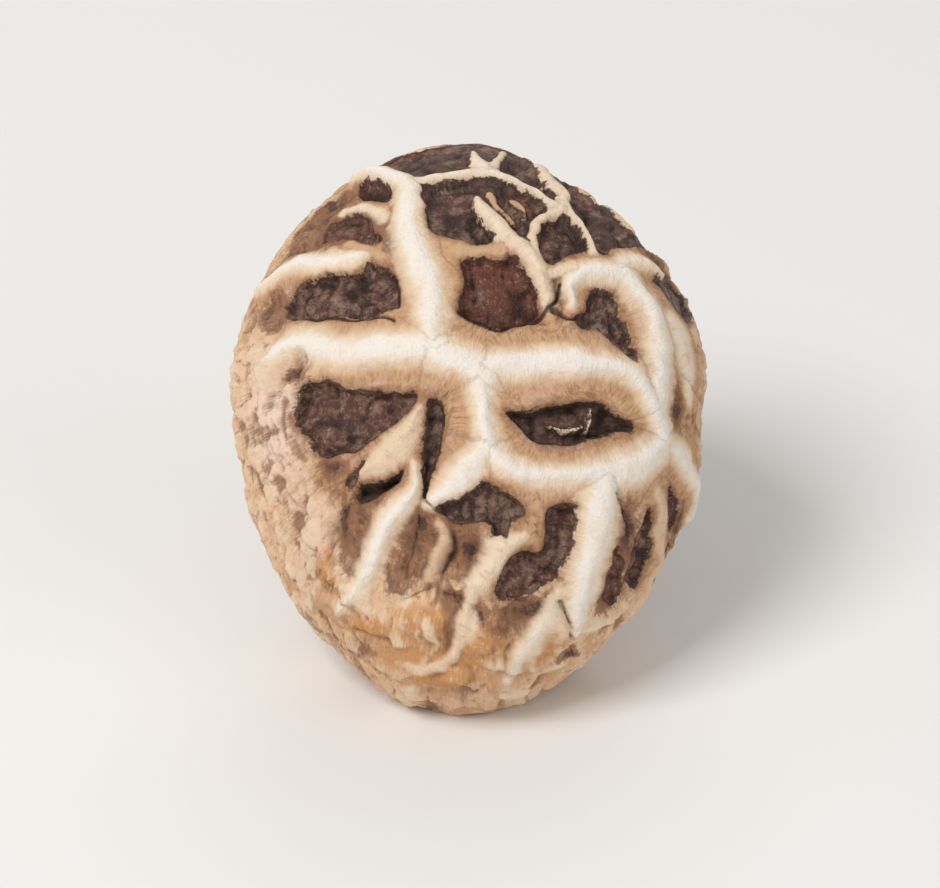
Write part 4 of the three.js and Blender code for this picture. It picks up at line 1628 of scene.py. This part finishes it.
@dataclass
class Gills:
    """The gills: crowded blades in two lengths, as one folded sheet with a back that the cap hides."""

    cap: CapForm
    stem: StemForm
    lie: Lie
    finish: GillFinish = GillFinish()
    blades: int = 92
    columns_per_blade: int = 16
    rings: int = 44
    # The blades' height, which comes on from both ends of their arch.
    blade_height: Ramp = Ramp(0.0, 0.35, 2.3)
    # Half a blade's width, where it ends and where it is whole, in shares of the space between blades.
    blade: Ramp = Ramp(0.24, 0.1)
    mid_height: float = 0.5
    tuck_out: float = 0.9
    tuck_in: float = 1.0
    back_height: float = 3.4
    sway: Lumps = Lumps(21, 3.2, 0.28)
    # The shorter blades end part of the way in, and about a fifth of them are low or missing.
    short_end: Ramp = Ramp(0.7, 0.25)
    short_share: Ramp = Ramp(0.1, 0.3)
    short_seed: int = 4
    ruffle: Lumps = Lumps(21, 1.4, 0.22, layers=2, shift=40.0)
    lumps: Lumps = Lumps(21, 5.0, 0.3, layers=1)

    def build(self) -> bpy.types.Object:
        """Makes the gills. Their edges follow an arch from the curl to the stem, and the depth between them
        rises and falls round the stem, with shorter blades halfway between the long ones.

        Returns:
            The gills' object.
        """
        angle = np.linspace(0, TURN, self.blades * self.columns_per_blade, endpoint=False)[None, :]
        inward = np.linspace(0, 1, self.rings)[:, None]
        curl = self.cap.surface(np.array([[3.0]]), angle)
        root = self.stem.side(np.array([[0.0]]), angle, np.array([[1.0]]))
        outer_r = np.hypot(curl[..., 0], curl[..., 1]) + self.tuck_out
        inner_r = np.hypot(root[..., 0], root[..., 1]) - self.tuck_in
        radius = outer_r + (inner_r - outer_r) * inward
        arch = np.sin(math.pi * inward)
        edge = curl[..., 2] + (root[..., 2] - curl[..., 2]) * inward
        edge = edge + (self.mid_height - (curl[..., 2] + root[..., 2]) / 2) * arch

        x, y = radius * np.cos(angle), radius * np.sin(angle)
        flat = np.stack([x, y, 0 * x], axis=-1)
        phase = angle / TURN * self.blades + self.sway(flat)
        chance = np.random.default_rng(self.short_seed).uniform(0, 1, self.blades)
        chance = chance[np.mod(np.floor(phase), self.blades).astype(int)]
        short = self._blade(phase + 0.5) * self.short_end(inward) * self.short_share(chance)
        depth = 1 - np.maximum(self._blade(phase), short)
        height = edge + self.ruffle(flat) + self.lumps(flat) + self.blade_height(arch) * depth
        rings, marks = self._closed(np.stack([x, y, height], axis=-1), depth)
        return Skin("gills", self.lie.place(rings), {"depth": marks}).build(self.finish.build())

    def _closed(self, points: np.ndarray, depth: np.ndarray) -> tuple[np.ndarray, np.ndarray]:
        """Closes the folded sheet with a flat back above it and a neck inside the stem.

        Args:
            points: The sheet's grid, from its outer ring to its inner one.
            depth: The depth between the blades, over the same grid.

        Returns:
            The closed grid, from the middle of the back to the middle of the neck, and its depths.
        """
        back = [0, 0, self.back_height]
        back_out, back_in = (ring * [1, 1, 0] + back for ring in (points[:1], points[-1:]))
        middle = np.zeros_like(back_out) + back
        neck = points[-1:] * [0.5, 0.5, 1]
        rings = [middle, 0.5 * (middle + back_in), back_out, points, neck, neck * [0, 0, 1]]
        return np.concatenate(rings), np.concatenate([depth[:1]] * 3 + [depth] + [depth[-1:]] * 2)

    def _blade(self, phase: np.ndarray) -> np.ndarray:
        """A blade about each whole number of the phase: 1 on it, easing to 0 towards the halves."""
        return self.blade(np.abs(phase - np.round(phase)))


@dataclass
class Stem:
    """The stem: a bent, wrinkled, fibrous stalk with a rough cut end."""

    form: StemForm
    lie: Lie
    finish: StemFinish = StemFinish()
    columns: int = 260
    top_rings: int = 4
    side_rings: int = 170
    end_rings: int = 26
    root_share: float = -0.2
    fibre_stretch: float = 3.2
    fibres: Lumps = Lumps(14, 0.9, 0.13)
    grooves: Creases = Creases(14, 2.2, layers=2)
    groove_depth: float = 0.3
    # Where the grooves are deep enough to get painted shade.
    groove_shade_ramp: Ramp = Ramp(-0.8, -1.4)
    lumps: Lumps = Lumps(14, 5.0, 0.35)
    # The cut end, over shares of the stem's length and radius: its edge, roughness, hollow and rounding.
    cut_share: Ramp = Ramp(0.985, 1.0)
    cut_reach: Ramp = Ramp(1.0, 0.9)
    rough: Lumps = Lumps(14, 1.2, 0.3)
    hollow: Ramp = Ramp(0.8, 0.2, 0.3)
    rounding_share: Ramp = Ramp(0.97, 1.0, 0.5)
    rounding_reach: Ramp = Ramp(0.85, 1.0)
    foot: Ramp = Ramp(0.55, 1.0)

    def build(self) -> bpy.types.Object:
        """Makes the stem: its oval sides from inside the cap to the foot, then the cut end in to its middle.

        Returns:
            The stem's object.
        """
        angle = np.linspace(0, TURN, self.columns, endpoint=False)[None, :]
        side_share = np.linspace(self.root_share, 1, self.side_rings)
        share = [np.full(self.top_rings, self.root_share), side_share, np.ones(self.end_rings)]
        reach = [np.linspace(0, 1, self.top_rings, endpoint=False), np.ones(self.side_rings),
                 np.linspace(1, 0, self.end_rings + 1)[1:]]
        share, reach = np.concatenate(share)[:, None], np.concatenate(reach)[:, None]
        base = self.form.side(share, angle, reach)
        normals = outward(base)
        share, reach, angle = np.broadcast_arrays(share, reach, angle)

        radius = self.form.radius
        around = [radius * np.cos(angle), radius * np.sin(angle), self.fibre_stretch * share]
        around = np.stack(around, axis=-1)
        grooves = self.grooves(around)
        cut = self.cut_share(share) * self.cut_reach(reach)
        push = self.lumps(base) + (1 - cut) * (self.fibres(around) + self.groove_depth * grooves)
        push += cut * (self.rough(base) - self.hollow(reach))
        push -= self.rounding_share(share) * self.rounding_reach(reach)
        marks = {
            "fibre": around,
            "foot": self.foot(share),
            # Painted shade in the deepest grooves, but not on the cut end.
            "wrinkle_shade": (1 - cut) * self.groove_shade_ramp(grooves),
            "cut": cut,
        }
        points = base + normals * push[..., None]
        return Skin("stem", self.lie.place(points), marks).build(self.finish.build())


@dataclass(frozen=True)
class Lamp:
    """A square soft light, in metres and watts."""

    name: str
    place: Place
    size: float
    power: float


@dataclass
class Studio:
    """A pale floor, soft lights and the camera, in metres."""

    lamps: tuple[Lamp, ...] = (
        Lamp("key_light", (-0.42, -0.36, 0.72), 0.4, 5.2),
        Lamp("fill_light", (0.65, -0.45, 0.35), 0.6, 1.3),
        Lamp("back_light", (0.1, 0.7, 0.6), 0.6, 1.8),
    )
    elevation: float = math.radians(31)
    distance: float = 0.5
    lens: float = 205.0
    clip: Range = (0.01, 50)
    aim: Place = (0.0, -0.0029, 0.0205)
    floor_half: float = 2.5
    floor_pale: Colour = tint(240, 238, 235)
    floor_dull: Colour = tint(237, 235, 232)
    mottle: float = 400
    floor_roughness: float = 0.9
    sky: Colour = tint(252, 252, 252)
    sky_strength: float = 0.36

    def build(self) -> None:
        """Makes the floor, the lights and the camera."""
        self._floor()
        for lamp in self.lamps:
            light = bpy.data.lights.new(lamp.name, "AREA")
            light.size = lamp.size
            light.energy = lamp.power
            self._aimed(bpy.data.objects.new(lamp.name, light), np.array(lamp.place))
        world = bpy.data.worlds.new("studio")
        world.use_nodes = True
        world.node_tree.nodes["Background"].inputs["Color"].default_value = self.sky
        world.node_tree.nodes["Background"].inputs["Strength"].default_value = self.sky_strength
        bpy.context.scene.world = world
        bpy.context.scene.view_settings.view_transform = "Standard"
        self._camera()
        log.info("studio: floor, %d lights and camera", len(self.lamps))

    def _floor(self) -> None:
        """Makes the floor, a plane with a faint mottle."""
        h = self.floor_half
        mesh = bpy.data.meshes.new("floor")
        mesh.from_pydata([(-h, -h, 0), (h, -h, 0), (h, h, 0), (-h, h, 0)], [], [(0, 1, 2, 3)])
        w = Wiring("floor")
        colour = w.mix(w.noise(size=self.mottle, detail=2), self.floor_pale, self.floor_dull)
        w.finish(colour, self.floor_roughness, None, 0.0)
        mesh.materials.append(w.material)
        floor = bpy.data.objects.new("floor", mesh)
        bpy.context.scene.collection.objects.link(floor)

    def _camera(self) -> None:
        """Makes the camera, in front of the mushroom and above it."""
        camera = bpy.data.cameras.new("camera")
        camera.lens = self.lens
        camera.clip_start, camera.clip_end = self.clip
        away = np.array([0.0, -math.cos(self.elevation), math.sin(self.elevation)])
        seat = bpy.data.objects.new("camera", camera)
        self._aimed(seat, np.array(self.aim) + away * self.distance)
        bpy.context.scene.camera = seat

    def _aimed(self, thing: bpy.types.Object, place: np.ndarray) -> None:
        """Puts a light or camera at a place, facing the aim.

        Args:
            thing: The light or camera.
            place: Where it goes.
        """
        x, y, z = np.array(self.aim) - place
        thing.location = place
        thing.rotation_euler = (math.atan2(math.hypot(x, y), -z), 0.0, math.atan2(-x, y))
        bpy.context.scene.collection.objects.link(thing)


def main() -> None:
    """Builds every piece in order, then the studio."""
    logging.basicConfig(level=logging.INFO, format="%(name)s: %(message)s")
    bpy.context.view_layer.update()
    cap_form, stem_form, lie = CapForm(), StemForm(), Lie()
    Cap(cap_form, lie).build()
    Gills(cap_form, stem_form, lie).build()
    Stem(stem_form, lie).build()
    Studio().build()


if __name__ == "__main__":
    main()
